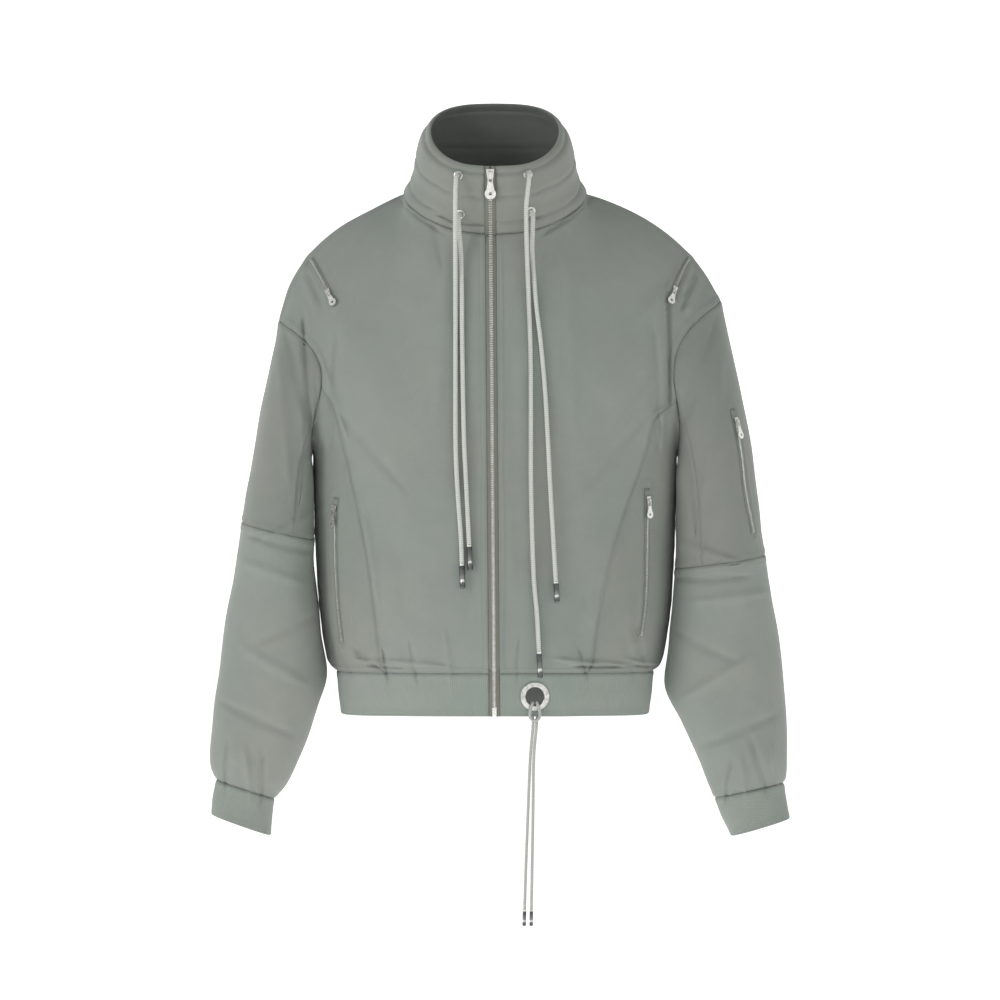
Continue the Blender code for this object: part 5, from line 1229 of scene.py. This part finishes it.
def rounded_profile(corners, radius, steps=5):
    """A closed profile with its corners rounded off."""
    smooth = []
    count = len(corners)
    for k in range(count):
        before, here, after = (np.array(corners[(k + s) % count], float) for s in (-1, 0, 1))
        reach = min(radius, np.linalg.norm(before - here) * 0.45, np.linalg.norm(after - here) * 0.45)
        start = here + (before - here) / np.linalg.norm(before - here) * reach
        end = here + (after - here) / np.linalg.norm(after - here) * reach
        for t in np.linspace(0, 1, steps):
            smooth.append(tuple((1 - t) ** 2 * start + 2 * t * (1 - t) * here + t ** 2 * end))
    return smooth


# ---------------------------------------------------------------- view, light and floor

FLOOR = -1.5              # the floor's level
FLOOR_REACH = 30.0        # the floor is flat as far as this, then bends up into a backdrop
FLOOR_BEND = 14.0         # the bend's radius
FLOOR_GLOW = 0.74
SKY = 0.37                # the even light from all round
FILM = 36                 # the camera's film width, in its own millimetres
CAMERA_DISTANCE = 12.0
CAMERA_RISE = math.radians(3)
VIEW_WIDTH = 1.25         # metres across the picture at the garment
AIM = (0.00625, -0.35625)  # middle of the picture: to the side, and up the picture's own upright


def add_camera():
    """The photograph's long lens, a little above the level of the middle."""
    upright = Vector((0, math.sin(CAMERA_RISE), math.cos(CAMERA_RISE)))
    forward = Vector((0, math.cos(CAMERA_RISE), -math.sin(CAMERA_RISE)))
    data = bpy.data.cameras.new("view")
    data.sensor_width = FILM
    data.lens = FILM * CAMERA_DISTANCE / VIEW_WIDTH
    data.clip_end = 500
    camera = put("view", data)
    camera.location = Vector((AIM[0], 0, 0)) + upright * AIM[1] - forward * CAMERA_DISTANCE
    camera.rotation_euler = (math.radians(90) - CAMERA_RISE, 0, 0)
    bpy.context.scene.camera = camera


def soft_light(name, place, target, size, power):
    """A large soft light."""
    data = bpy.data.lights.new(name, "AREA")
    data.shape = "RECTANGLE"
    data.size, data.size_y = size
    data.energy = power
    light = put(name, data)
    light.location = place
    light.rotation_euler = (Vector(target) - Vector(place)).to_track_quat("-Z", "Y").to_euler()


def add_studio():
    """A white studio: an even sky, a wide light above the front's left, weaker ones elsewhere."""
    world = bpy.data.worlds.new("studio")
    world.use_nodes = True
    sky = world.node_tree.nodes["Background"]
    sky.inputs["Color"].default_value = (1, 1, 1, 1)
    sky.inputs["Strength"].default_value = SKY
    bpy.context.scene.world = world
    middle = (0, 0, -0.35)
    soft_light("front_light", (-3.4, -2.2, 1.2), middle, (1.2, 1.6), 46)
    soft_light("side_light", (3.6, -2.4, 2.4), middle, (1.6, 1.6), 18)
    soft_light("back_light", (-2.2, 4.6, 2.8), middle, (2.0, 2.0), 60)
    add_floor()
    bpy.context.scene.view_settings.view_transform = "Standard"


def add_floor():
    """A pale floor that bends up into a backdrop, far behind everything and all round."""
    material, tree, shader = finish("studio_floor", 0.9)
    grain = noise(tree, node(tree, "ShaderNodeTexCoord").outputs["Object"], 40.0)
    tree.links.new(blend(tree, grain, (0.93, 0.93, 0.93, 1), (0.96, 0.96, 0.96, 1)),
                   shader.inputs["Base Color"])
    shader.inputs["Emission Color"].default_value = (1, 1, 1, 1)
    shader.inputs["Emission Strength"].default_value = FLOOR_GLOW
    bend = [(FLOOR_REACH + FLOOR_BEND * math.sin(turn), FLOOR + FLOOR_BEND * (1 - math.cos(turn)))
            for turn in np.radians(np.linspace(0, 85, 18))]
    turns = np.linspace(0, 2 * math.pi, 49)[:-1]
    vertices = [(0.0, 0.0, FLOOR)]
    vertices += [(reach * math.cos(t), reach * math.sin(t), z) for reach, z in bend for t in turns]
    ring = len(turns)
    faces = [(0, 1 + k, 1 + (k + 1) % ring) for k in range(ring)]
    for row in range(len(bend) - 1):
        first = 1 + row * ring
        faces += [(first + k, first + ring + k, first + ring + after, first + after)
                  for k, after in zip(range(ring), [*range(1, ring), 0])]
    mesh = bpy.data.meshes.new("floor")
    mesh.from_pydata(vertices, [], faces)
    mesh.shade_smooth()
    mesh.materials.append(material)
    put("floor", mesh)


# ---------------------------------------------------------------- setting things on the cloth


def refine(grid, per_span=4):
    """The smooth surface through a grid's points."""
    across = spline(grid.transpose(1, 0, 2), per_span)
    return spline(across.transpose(1, 0, 2), per_span)


class Cloth:
    """A surface of the garment, to set trimmings on."""

    def __init__(self, grids):
        vertices, faces, base = [], [], 0
        for grid in grids:
            rows, columns = grid.shape[:2]
            index = np.arange(rows * columns).reshape(rows, columns) + base
            quads = np.stack([index[:-1, :-1], index[:-1, 1:], index[1:, 1:], index[1:, :-1]], axis=-1)
            faces += quads.reshape(-1, 4).tolist()
            vertices += [Vector(p) for p in grid.reshape(-1, 3).tolist()]
            base += rows * columns
        self.tree = BVHTree.FromPolygons(vertices, faces)

    def in_front(self, x, z):
        """The point that a level sight line from the front meets."""
        return self.tree.ray_cast(Vector((x, -0.5, z)), Vector((0, 1, 0)))[0]

    def near(self, point, away):
        """The nearest point of the surface and its normal, turned away from a point inside."""
        place, normal, _, _ = self.tree.find_nearest(Vector(point))
        if normal.dot(place - Vector(away)) < 0:
            normal = -normal
        return place, normal


def smooth_cloth(halves, back, collar, band):
    """The garment without its creases and seams, as its solids have it."""
    grids = [back, collar, band]
    for half in halves:
        grids += [half.front, half.flank, rounded_up(half.sleeve)]
    return Cloth([refine(grid) for grid in grids])


def set_matrix(origin, up, out):
    """A place on the cloth: local Y points out of it and local Z up along it."""
    out = out.normalized()
    up = (up - out * up.dot(out)).normalized()
    return Matrix.Translation(origin) @ Matrix((out.cross(up), out, up)).transposed().to_4x4()


def strip_rows(cloth, path, inside, offsets, lift):
    """Rows of points across a strip laid along a path on the cloth, and their normals."""
    places = [cloth.near(p, inside) for p in path]
    rows, outward = [], []
    for number, (place, normal) in enumerate(places):
        before = places[max(number - 1, 0)][0]
        after = places[min(number + 1, len(places) - 1)][0]
        across = (after - before).cross(normal).normalized()
        edges = [cloth.near(place + across * step, inside) for step in offsets]
        rows.append([tuple(edge[0] + normal * lift) for edge in edges])
        outward.append([tuple(normal)] * len(offsets))
    return np.array(rows, float), np.array(outward, float)


# ---------------------------------------------------------------- cutting and sewing the cloth

# How each kind of piece is sewn: the edges that are seams and those that are open, the depth of
# the groove at a seam, the height of the ridge beside it, of its gathers and of the cloth's slow
# waves, and the channels stitched along an edge.
CLOTH_RELIEF = (0.0005, 0.0006, 0.0007, 0.0017)
SEAMS = Sewing(ALL_EDGES, (), *CLOTH_RELIEF, ())
FRONT = Sewing(("first_row", "last_row", "last_column"), ("first_column",), *CLOTH_RELIEF, ())
TUBE = Sewing(("first_row", "last_row"), (), 0.0009, 0.0007, 0.0008, 0.0018, ())
CUFF = Sewing(("first_row",), ("last_row",), 0.0009, 0.0005, 0.0004, 0.0005, ())
BAND = Sewing(("last_row",), ("first_row", "first_column", "last_column"), 0.0009, 0.0005, 0.0004,
              0.0006, ())
CHANNELS = (("last_row", 0.0100), ("first_row", 0.0160), ("first_row", 0.0480))
COLLAR = Sewing(("first_row",), ("last_row", "first_column", "last_column"), 0.0009, 0.0006, 0.0005,
                0.0009, CHANNELS)


def sew_garment(halves, back, collar, band, finishes, calm):
    """Every cut piece of cloth."""
    shell, side, shaded_sleeve, shaded_fleece, rib = (finishes[key]
                                       for key in ("shell", "side", "shaded_sleeve", "shaded_fleece", "rib"))
    upper = list(range(UNDER_END, ARM_POINTS)) + list(range(UNDER_START + 1))
    under = list(range(UNDER_START, UNDER_END + 1))
    elbow = slice(0, ELBOW_ROW + 1)
    # the insides of the pieces get the fleece finish, darkened as painted shade
    common = dict(calm=calm, inner_material=shaded_fleece)
    close = dict(per=(13, 7), **common)
    for half in halves:
        name, sign = half.side.name, half.side.sign
        sewn_piece(f"front_{name}", half.front, sign, FRONT, shell, **close)
        # the side panels wear a darker copy of the shell cloth: painted shade
        sewn_piece(f"side_panel_{name}", half.flank, sign, SEAMS, side, **close)
        # the upper and under sleeves wear a darker copy of the shell cloth: painted shade
        sewn_piece(f"upper_sleeve_{name}", half.sleeve[elbow, upper], sign, SEAMS, shaded_sleeve, **close)
        sewn_piece(f"under_sleeve_{name}", half.sleeve[elbow, under], sign, SEAMS, shaded_sleeve, **common)
        sewn_piece(f"lower_sleeve_{name}", half.sleeve[ELBOW_ROW:], sign, TUBE, shell, closed=True,
                   **close)
        sewn_piece(f"cuff_{name}", half.cuff, sign, CUFF, rib, wall=BAND_WALL, closed=True,
                   slot="band_cloth", **common)
    sewn_piece("back", back, -1, SEAMS, shell, **common)
    sewn_piece("collar", collar, 1, COLLAR, finishes["collar"], wall=COLLAR_WALL, slot="collar_cloth",
               calm=calm, inner_material=finishes["collar_inside_shade"])
    return sewn_piece("hem_band", band, 1, BAND, rib, wall=BAND_WALL, slot="band_cloth", **common)


def cut_hole(piece, seat, radius):
    """Cuts the large eyelet's hole through the hem band."""
    shaped = bmesh.new()
    bmesh.ops.create_cone(shaped, cap_ends=True, segments=48, radius1=radius, radius2=radius,
                          depth=0.02)
    mesh = bpy.data.meshes.new("hem_hole")
    shaped.to_mesh(mesh)
    shaped.free()
    cutter = put("hem_hole", mesh)
    cutter.matrix_world = seat @ Matrix.Rotation(math.radians(-90), 4, "X")
    cut = piece.modifiers.new("hole", "BOOLEAN")
    cut.operation = "DIFFERENCE"
    cut.solver = "EXACT"
    cut.object = cutter
    bpy.context.view_layer.update()
    whole = bpy.data.meshes.new_from_object(
        piece.evaluated_get(bpy.context.evaluated_depsgraph_get()), preserve_all_data_layers=True,
        depsgraph=bpy.context.evaluated_depsgraph_get())
    piece.modifiers.clear()
    piece.data = whole
    bpy.data.objects.remove(cutter)


def seam_line(name, edge, away, start=0.0):
    """A line beside an edge of a sewn piece, with its outward normals."""
    outer = SEWN[name]
    points, normals = outer.points, outer.normals
    if edge.endswith("row"):
        points, normals = points.transpose(1, 0, 2), normals.transpose(1, 0, 2)
    if edge.startswith("last"):
        points, normals = points[:, ::-1], normals[:, ::-1]
    first = int(start * (len(points) - 1))
    line, outward = [], []
    for row, normal in zip(points[first:], normals[first:]):
        run = np.concatenate([[0], np.cumsum(np.linalg.norm(np.diff(row, axis=0), axis=1))])
        line.append([np.interp(away, run, row[:, k]) for k in range(3)])
        outward.append([np.interp(away, run, normal[:, k]) for k in range(3)])
    outward = np.array(outward)
    outward /= np.linalg.norm(outward, axis=1, keepdims=True)
    return np.array(line) + outward * THREAD_RISE, outward


THREAD_RISE = 0.00012     # of a thread's middle over the cloth
NEAR, FAR = 0.0022, 0.0078       # the two rows beside a twin-stitched seam along a row
BESIDE, WIDE = 0.0024, 0.0082    # and beside one along a column


def stitch_rows(*table):
    """Rows of stitches from a table: the piece, the edge that they run along, how far from it
    each row runs, and the share of the edge's length after which they start."""
    return [(piece, edge, away, *start) for piece, edge, aways, *start in table for away in aways]


BODY_STITCHES = stitch_rows(
    ("back", "first_row", (NEAR, FAR)), ("back", "first_column", (BESIDE, WIDE), 0.38),
    ("back", "last_column", (BESIDE, WIDE), 0.38), ("back", "last_row", (NEAR, 0.0080)))
SLEEVE_STITCHES = []
for _name in ("left", "right"):
    BODY_STITCHES += stitch_rows(
        ("front_" + _name, "first_column", (BESIDE, 0.0080)), ("front_" + _name, "last_column", (BESIDE,)),
        ("front_" + _name, "last_column", (WIDE,), 0.56), ("front_" + _name, "first_row", (NEAR, FAR)),
        ("front_" + _name, "last_row", (NEAR,)), ("front_" + _name, "last_row", (0.0080,), 0.5),
        ("side_panel_" + _name, "first_row", (NEAR, FAR)),
        ("side_panel_" + _name, "first_column", (BESIDE,)))
    SLEEVE_STITCHES += stitch_rows(
        ("upper_sleeve_" + _name, "first_row", (BESIDE,)), ("upper_sleeve_" + _name, "first_column", (NEAR,)),
        ("upper_sleeve_" + _name, "last_column", (NEAR,)), ("upper_sleeve_" + _name, "last_row", (NEAR,)),
        ("lower_sleeve_" + _name, "first_row", (NEAR, 0.0080)),
        ("lower_sleeve_" + _name, "last_row", (NEAR,)),
        ("cuff_" + _name, "first_row", (NEAR,)), ("cuff_" + _name, "last_row", (BESIDE,)))
TRIM_STITCHES = stitch_rows(
    ("collar", "first_row", (BESIDE, CHANNELS[1][1], CHANNELS[2][1])),
    ("collar", "last_row", (CHANNELS[0][1],)),
    ("collar", "first_column", (BESIDE,)), ("collar", "last_column", (BESIDE,)),
    ("hem_band", "last_row", (NEAR,)), ("hem_band", "first_row", (0.0026,)))


def add_stitches(finishes, tree, zip_lines):
    """The sewing thread that shows."""
    sizes = dict(step=0.0033, length=0.0027, width=0.00060, height=0.00042)   # of a stitch
    for name, rows, extra, slot in (("body_stitches", BODY_STITCHES, [], "shell_cloth"),
                                    ("sleeve_stitches", SLEEVE_STITCHES, zip_lines, "shell_cloth"),
                                    ("collar_and_hem_stitches", TRIM_STITCHES, [], "collar_cloth")):
        lines = [seam_line(*row) for row in rows] + extra
        row_piece(name, tree, lines, finishes["thread"], slot, **sizes)


# ---------------------------------------------------------------- zips


def front_line(halves, collar, band):
    """The middle line of the front zip, hem to rim, and its outward normals."""
    edges = []
    for half, column in zip(halves, (0, -1)):
        edges.append(np.vstack([band[:-1, column], half.front[:-1, 0], collar[:, column]]))
    line = spline(np.mean(edges, axis=0), 14)
    line[:, 0] = zip_x(line[:, 2])
    way = np.gradient(line, axis=0)
    outward = np.stack([np.zeros(len(line)), -way[:, 2], way[:, 1]], axis=1)
    return line, outward / np.linalg.norm(outward, axis=1, keepdims=True)


def along_line(line, outward, shares_wanted):
    """Points and normals at shares of a line's length."""
    run = shares(line)
    found = np.stack([np.interp(shares_wanted, run, outward[:, k]) for k in range(3)], axis=1)
    return spread(line, shares_wanted), found / np.linalg.norm(found, axis=1, keepdims=True)


FRONT_PITCH = 0.0022      # from tooth to tooth
FRONT_TEETH = (0.019, 0.976)   # where the front zip's teeth start and end, as shares of its length
SMALL_PITCH = 0.0017


def tooth_rows(line, outward, across, start, end, pitch, reach, lift):
    """Two rows of zip teeth that stand half a pitch apart, each side of a line."""
    length = line_length(line)
    rows = []
    for side, shift in ((1, 0.0), (-1, pitch / 2)):
        wanted = np.arange(start * length + shift, end * length, pitch / 4) / length
        points, normals = along_line(line, outward, wanted)
        sideways = along_line(line, across, wanted)[1]
        rows.append((points + sideways * side * reach + normals * lift, normals))
    return rows


SIDEWAYS = np.array((1.0, 0, 0))


def add_front_zip(halves, collar, band, finishes, tree):
    """Woven tapes and metal teeth of the front zip."""
    line, outward = front_line(halves, collar, band)
    for name, sign in (("left", 1), ("right", -1)):
        offsets = sign * np.array([0.0006, CHAIN_HALF, 0.0042, 0.0056, ZIP_HALF + 0.0004])
        depth = np.array([-0.0002, 0.0, 0.0004, 0.0008, 0.0012])
        grid = line[:, None] + offsets[None, :, None] * SIDEWAYS
        grid = grid - outward[:, None] * depth[None, :, None]
        normals = np.repeat(outward[:, None], len(offsets), axis=1)
        piece = wall_piece(f"front_zip_tape_{name}_woven", grid, grid - normals * 0.0007,
                           finishes["tape"])
        wear_piece(piece, "zip_tape", f"front_zip_tape_{name}")
    across = np.tile(SIDEWAYS, (len(line), 1))
    rows = tooth_rows(line, outward, across, *FRONT_TEETH, FRONT_PITCH, 0.00085, 0.0007)
    row_piece("front_zip_teeth", tree, rows, finishes["teeth"], "tooth_metal", ("front_zip_chain",),
              step=FRONT_PITCH, length=0.00125, width=0.0033, height=0.0019)


def zip_path(zip_row, cloth, count=40):
    """The line of a small zip on the cloth."""
    path = spread(spline(zip_row.path), np.linspace(0, 1, count))
    return np.array([cloth.near(p, zip_row.inside)[0] for p in path], float)


def add_small_zip(zip_row, path, cloth, finishes, tree):
    """Tape and teeth of a short zip, and the stitch line round it."""
    offsets = np.linspace(-TAPE_WIDTH / 2, TAPE_WIDTH / 2, 7)
    grid, normals = strip_rows(cloth, path, zip_row.inside, offsets, 0.0008)
    tape = wall_piece(f"{zip_row.name}_tape_woven", grid, grid - normals * 0.0006,
                      finishes["dyed_tape"])
    wear_piece(tape, "zip_tape", f"{zip_row.name}_tape")
    line, outward = grid[:, 3], normals[:, 3]
    across = grid[:, 6] - grid[:, 0]
    across /= np.linalg.norm(across, axis=1, keepdims=True)
    length = line_length(line)
    half_slider = SLIDER_LENGTH * SMALL / 2 / length
    above, below = zip_row.slider_at - half_slider, zip_row.slider_at + half_slider
    start, end = (below, 0.985) if above < 1 - below else (0.015, above)
    rows = tooth_rows(line, outward, across, start, end, SMALL_PITCH, 0.00062, 0.0006)
    metal = finishes["dull_teeth" if zip_row.name.startswith("shoulder") else "teeth"]
    row_piece(f"{zip_row.name}_teeth", tree, rows, metal, "tooth_metal", (f"{zip_row.name}_chain",),
              step=SMALL_PITCH, length=0.0010, width=0.0024, height=0.0014)
    beside, beside_out = strip_rows(cloth, path, zip_row.inside, (-0.0076, 0.0076), 0.0001)
    return [(beside[:, k], beside_out[:, k]) for k in (0, 1)]


def dress_hardware(finishes):
    """Good metal on the sliders, pulls and box, which keep their solids' form."""
    for name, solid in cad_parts.items():
        if name.endswith(("_slider", "_pull", "_box")):
            metal = finishes["pull"]
            if not solid.material_slots:
                solid.data.materials.append(metal)
            for slot in solid.material_slots:
                slot.material = metal


# ---------------------------------------------------------------- eyelets, cords and tips

UPRIGHT = Matrix.Rotation(math.radians(-90), 4, "X")


def add_eyelets(cloth, finishes):
    """The four small eyelets of the collar and the large one of the hem."""
    hole, rim, wall = EYELET_HOLE, EYELET_RIM, EYELET_WALL
    corners = [(hole, 0), (hole, wall), (rim, wall * 0.75), (rim, 0)]
    profile = rounded_profile(corners, wall * 0.5)
    for eyelet in EYELETS:
        place, out = cloth.near(cloth.in_front(eyelet.x, eyelet.z), (0, 0, eyelet.z))
        seat = set_matrix(place + out * SEAM_GAP, Vector((0, 0, 1)), out) @ UPRIGHT
        ring = turned_mesh(f"eyelet_{eyelet.name}_ring", profile, 40, seat, finishes["eyelet"], True)
        wear_piece(ring, "eyelet_metal", f"eyelet_{eyelet.name}")
    front, back = HEM_EYELET_LIFT, -BAND_WALL - HEM_EYELET_LIFT
    tube, top = HEM_HOLE + HEM_TUBE_WALL, HEM_EYELET_LIFT + HEM_RIM_RISE
    corners = [(HEM_HOLE, top), (HEM_RIM, top * 0.8), (HEM_RIM, front), (tube, front), (tube, back),
               (HEM_BACK_RIM, back), (HEM_BACK_RIM, back - 0.0009), (HEM_HOLE, back - 0.0009)]
    seat = hem_seat(cloth)
    ring = turned_mesh("eyelet_hem_ring", rounded_profile(corners, 0.0011), 72, seat @ UPRIGHT,
                       finishes["eyelet"], True)
    wear_piece(ring, "eyelet_metal", "eyelet_hem")


def hem_seat(cloth):
    """Where the large eyelet sits on the hem band."""
    place, out = cloth.near(cloth.in_front(HEM_EYELET.x, HEM_EYELET.z), (0, 0, HEM_EYELET.z))
    return set_matrix(place, Vector((0, 0, 1)), out)


# The bright parts of a cord's metal end, as shares of its length from the cord on.
BAND_FROM, BAND_TO = 0.62, 0.76
COLLAR_TO = 0.07


def add_tip(name, tip, points, finishes):
    """A crimped metal end: a dark sleeve with a bright band and a rounded end."""
    end = Vector(points[-1])
    onward = (end - Vector(points[-2])).normalized()
    seat = set_matrix(end + onward * SEAM_GAP, Vector((0, 1, 0)), onward)
    radius, length = tip.radius, tip.length
    neck = radius * 0.88
    corners = [(radius * 0.55, length), (radius * 0.92, length - radius * 0.25),
               (radius, length - radius * 0.8), (radius, length * 0.75), (neck, length * 0.735),
               (neck, length * 0.645), (radius, length * 0.63), (radius, length * 0.08),
               (radius * 0.93, 0.0)]
    profile = [(0.0, length)]
    for before, after in zip(corners, corners[1:]):
        profile += [tuple(np.array(before) * (1 - t) + np.array(after) * t) for t in (0.0, 0.5)]
    profile += [corners[-1], (0.0, 0.0)]
    piece = turned_mesh(name + "_sleeve", profile, 28, seat @ UPRIGHT, finishes["tip"], False)
    piece.data.materials.append(finishes["pull"])
    start = seat.translation
    for face in piece.data.polygons:
        height = (face.center - start).dot(onward) / length
        if BAND_FROM < height < BAND_TO or height < COLLAR_TO:
            face.material_index = 1
    wear_piece(piece, "cord_tip_metal", name)
    return piece


def add_cords(finishes):
    """The free cords with their metal ends."""
    tips = {tip.cord: name for name, tip in TIPS.items()}
    for name, cord in CORDS.items():
        collar_cord = cord.diameter == COLLAR_CORD
        piece, points, length = cord_piece(name, cord.route, cord.diameter,
                                           finishes["cord" if collar_cord else "thin_cord"])
        ends = [add_tip(tips[name], TIPS[tips[name]], points, finishes)] if name in tips else []


# ---------------------------------------------------------------- the whole garment


def make_finishes():
    """Every finish of the garment."""
    green, warm = (0.216, 0.248, 0.220), (0.240, 0.256, 0.230)
    return {
        "shell": cloth_finish("washed_sweat_cloth", green, warm),
        # a darker copy of the shell cloth for the side panels: painted shade where the body rounds away from
        # the light
        "side": cloth_finish("side_panel_shaded_cloth", (0.202, 0.229, 0.201), (0.226, 0.239, 0.214)),
        # a darker copy of the shell cloth for the upper and under sleeves: painted shade, as less light falls
        # on them
        "shaded_sleeve": cloth_finish("shaded_sleeve_sweat_cloth", (0.188, 0.213, 0.187), (0.214, 0.222, 0.200)),
        "collar": cloth_finish("collar_sweat_cloth", (0.204, 0.230, 0.202), (0.226, 0.238, 0.212)),
        # the inside of the garment: the brushed fleece back is its own cloth, made darker as painted shade of
        # the garment's hollow
        "shaded_fleece": cloth_finish("brushed_shaded_fleece_back", (0.150, 0.168, 0.148), (0.170, 0.176, 0.158),
                               depth=2.5),
        # the inside of the collar: a much darker copy of its cloth, painted shade of its hollow
        "collar_inside_shade": cloth_finish("collar_lining_cloth", (0.108, 0.122, 0.108),
                                      (0.128, 0.133, 0.118), depth=1.5),
        "rib": cloth_finish("ribbed_band_cloth", (0.238, 0.280, 0.246), (0.260, 0.284, 0.254),
                            rib_pitch=0.0024, depth=1.6),
        "tape": tape_finish("woven_zip_tape", (0.205, 0.208, 0.172)),
        "dyed_tape": tape_finish("dyed_zip_tape", (0.225, 0.255, 0.225)),
        "teeth": metal_finish("aged_nickel_teeth", (0.72, 0.73, 0.68), (0.36, 0.36, 0.31), 0.36),
        "dull_teeth": metal_finish("darkened_teeth", (0.19, 0.21, 0.18), (0.13, 0.14, 0.12), 0.6),
        "pull": metal_finish("satin_nickel", (0.64, 0.64, 0.61), (0.42, 0.42, 0.40), 0.27),
        "eyelet": metal_finish("polished_nickel", (0.60, 0.60, 0.58), (0.42, 0.42, 0.40), 0.24),
        "tip": metal_finish("dark_nickel", (0.075, 0.075, 0.080), (0.035, 0.035, 0.038), 0.26),
        "cord": cord_finish("braided_cotton_cord", (0.68, 0.70, 0.65), (0.44, 0.46, 0.41), 16,
                            COLLAR_CORD),
        "thin_cord": cord_finish("braided_hem_cord", (0.54, 0.55, 0.52), (0.34, 0.35, 0.32), 12,
                                 HEM_CORD),
        "thread": cloth_finish("sewing_thread", (0.195, 0.222, 0.196), (0.218, 0.230, 0.208)),
    }


def dress_garment():
    """Makes everything in order."""
    add_camera()
    finishes = make_finishes()
    add_cords(finishes)
    halves, back = make_halves()
    collar = collar_grid()
    band = band_grid(hem_ring(halves))
    smooth = smooth_cloth(halves, back, collar, band)
    paths = {row.name: zip_path(row, smooth) for row in SMALL_ZIPS}
    seat = hem_seat(smooth)
    rings = [np.array(smooth.in_front(eyelet.x, eyelet.z)) for eyelet in EYELETS]
    calm = Calm(list(paths.values()), rings, np.array(seat.translation))
    hem_band = sew_garment(halves, back, collar, band, finishes, calm)
    cut_hole(hem_band, seat, HEM_HOLE + HEM_TUBE_WALL + SEAM_GAP)
    fine = Cloth([rounded_up(outer.points, outer.closed) for outer in SEWN.values()])
    stitch, tooth = row_tree("thread_row", True), row_tree("tooth_row", False)
    add_front_zip(halves, collar, band, finishes, tooth)
    zip_lines = []
    for zip_row in SMALL_ZIPS:
        zip_lines += add_small_zip(zip_row, paths[zip_row.name], fine, finishes, tooth)
    add_stitches(finishes, stitch, zip_lines)
    add_eyelets(smooth, finishes)
    dress_hardware(finishes)
    add_studio()


dress_garment()
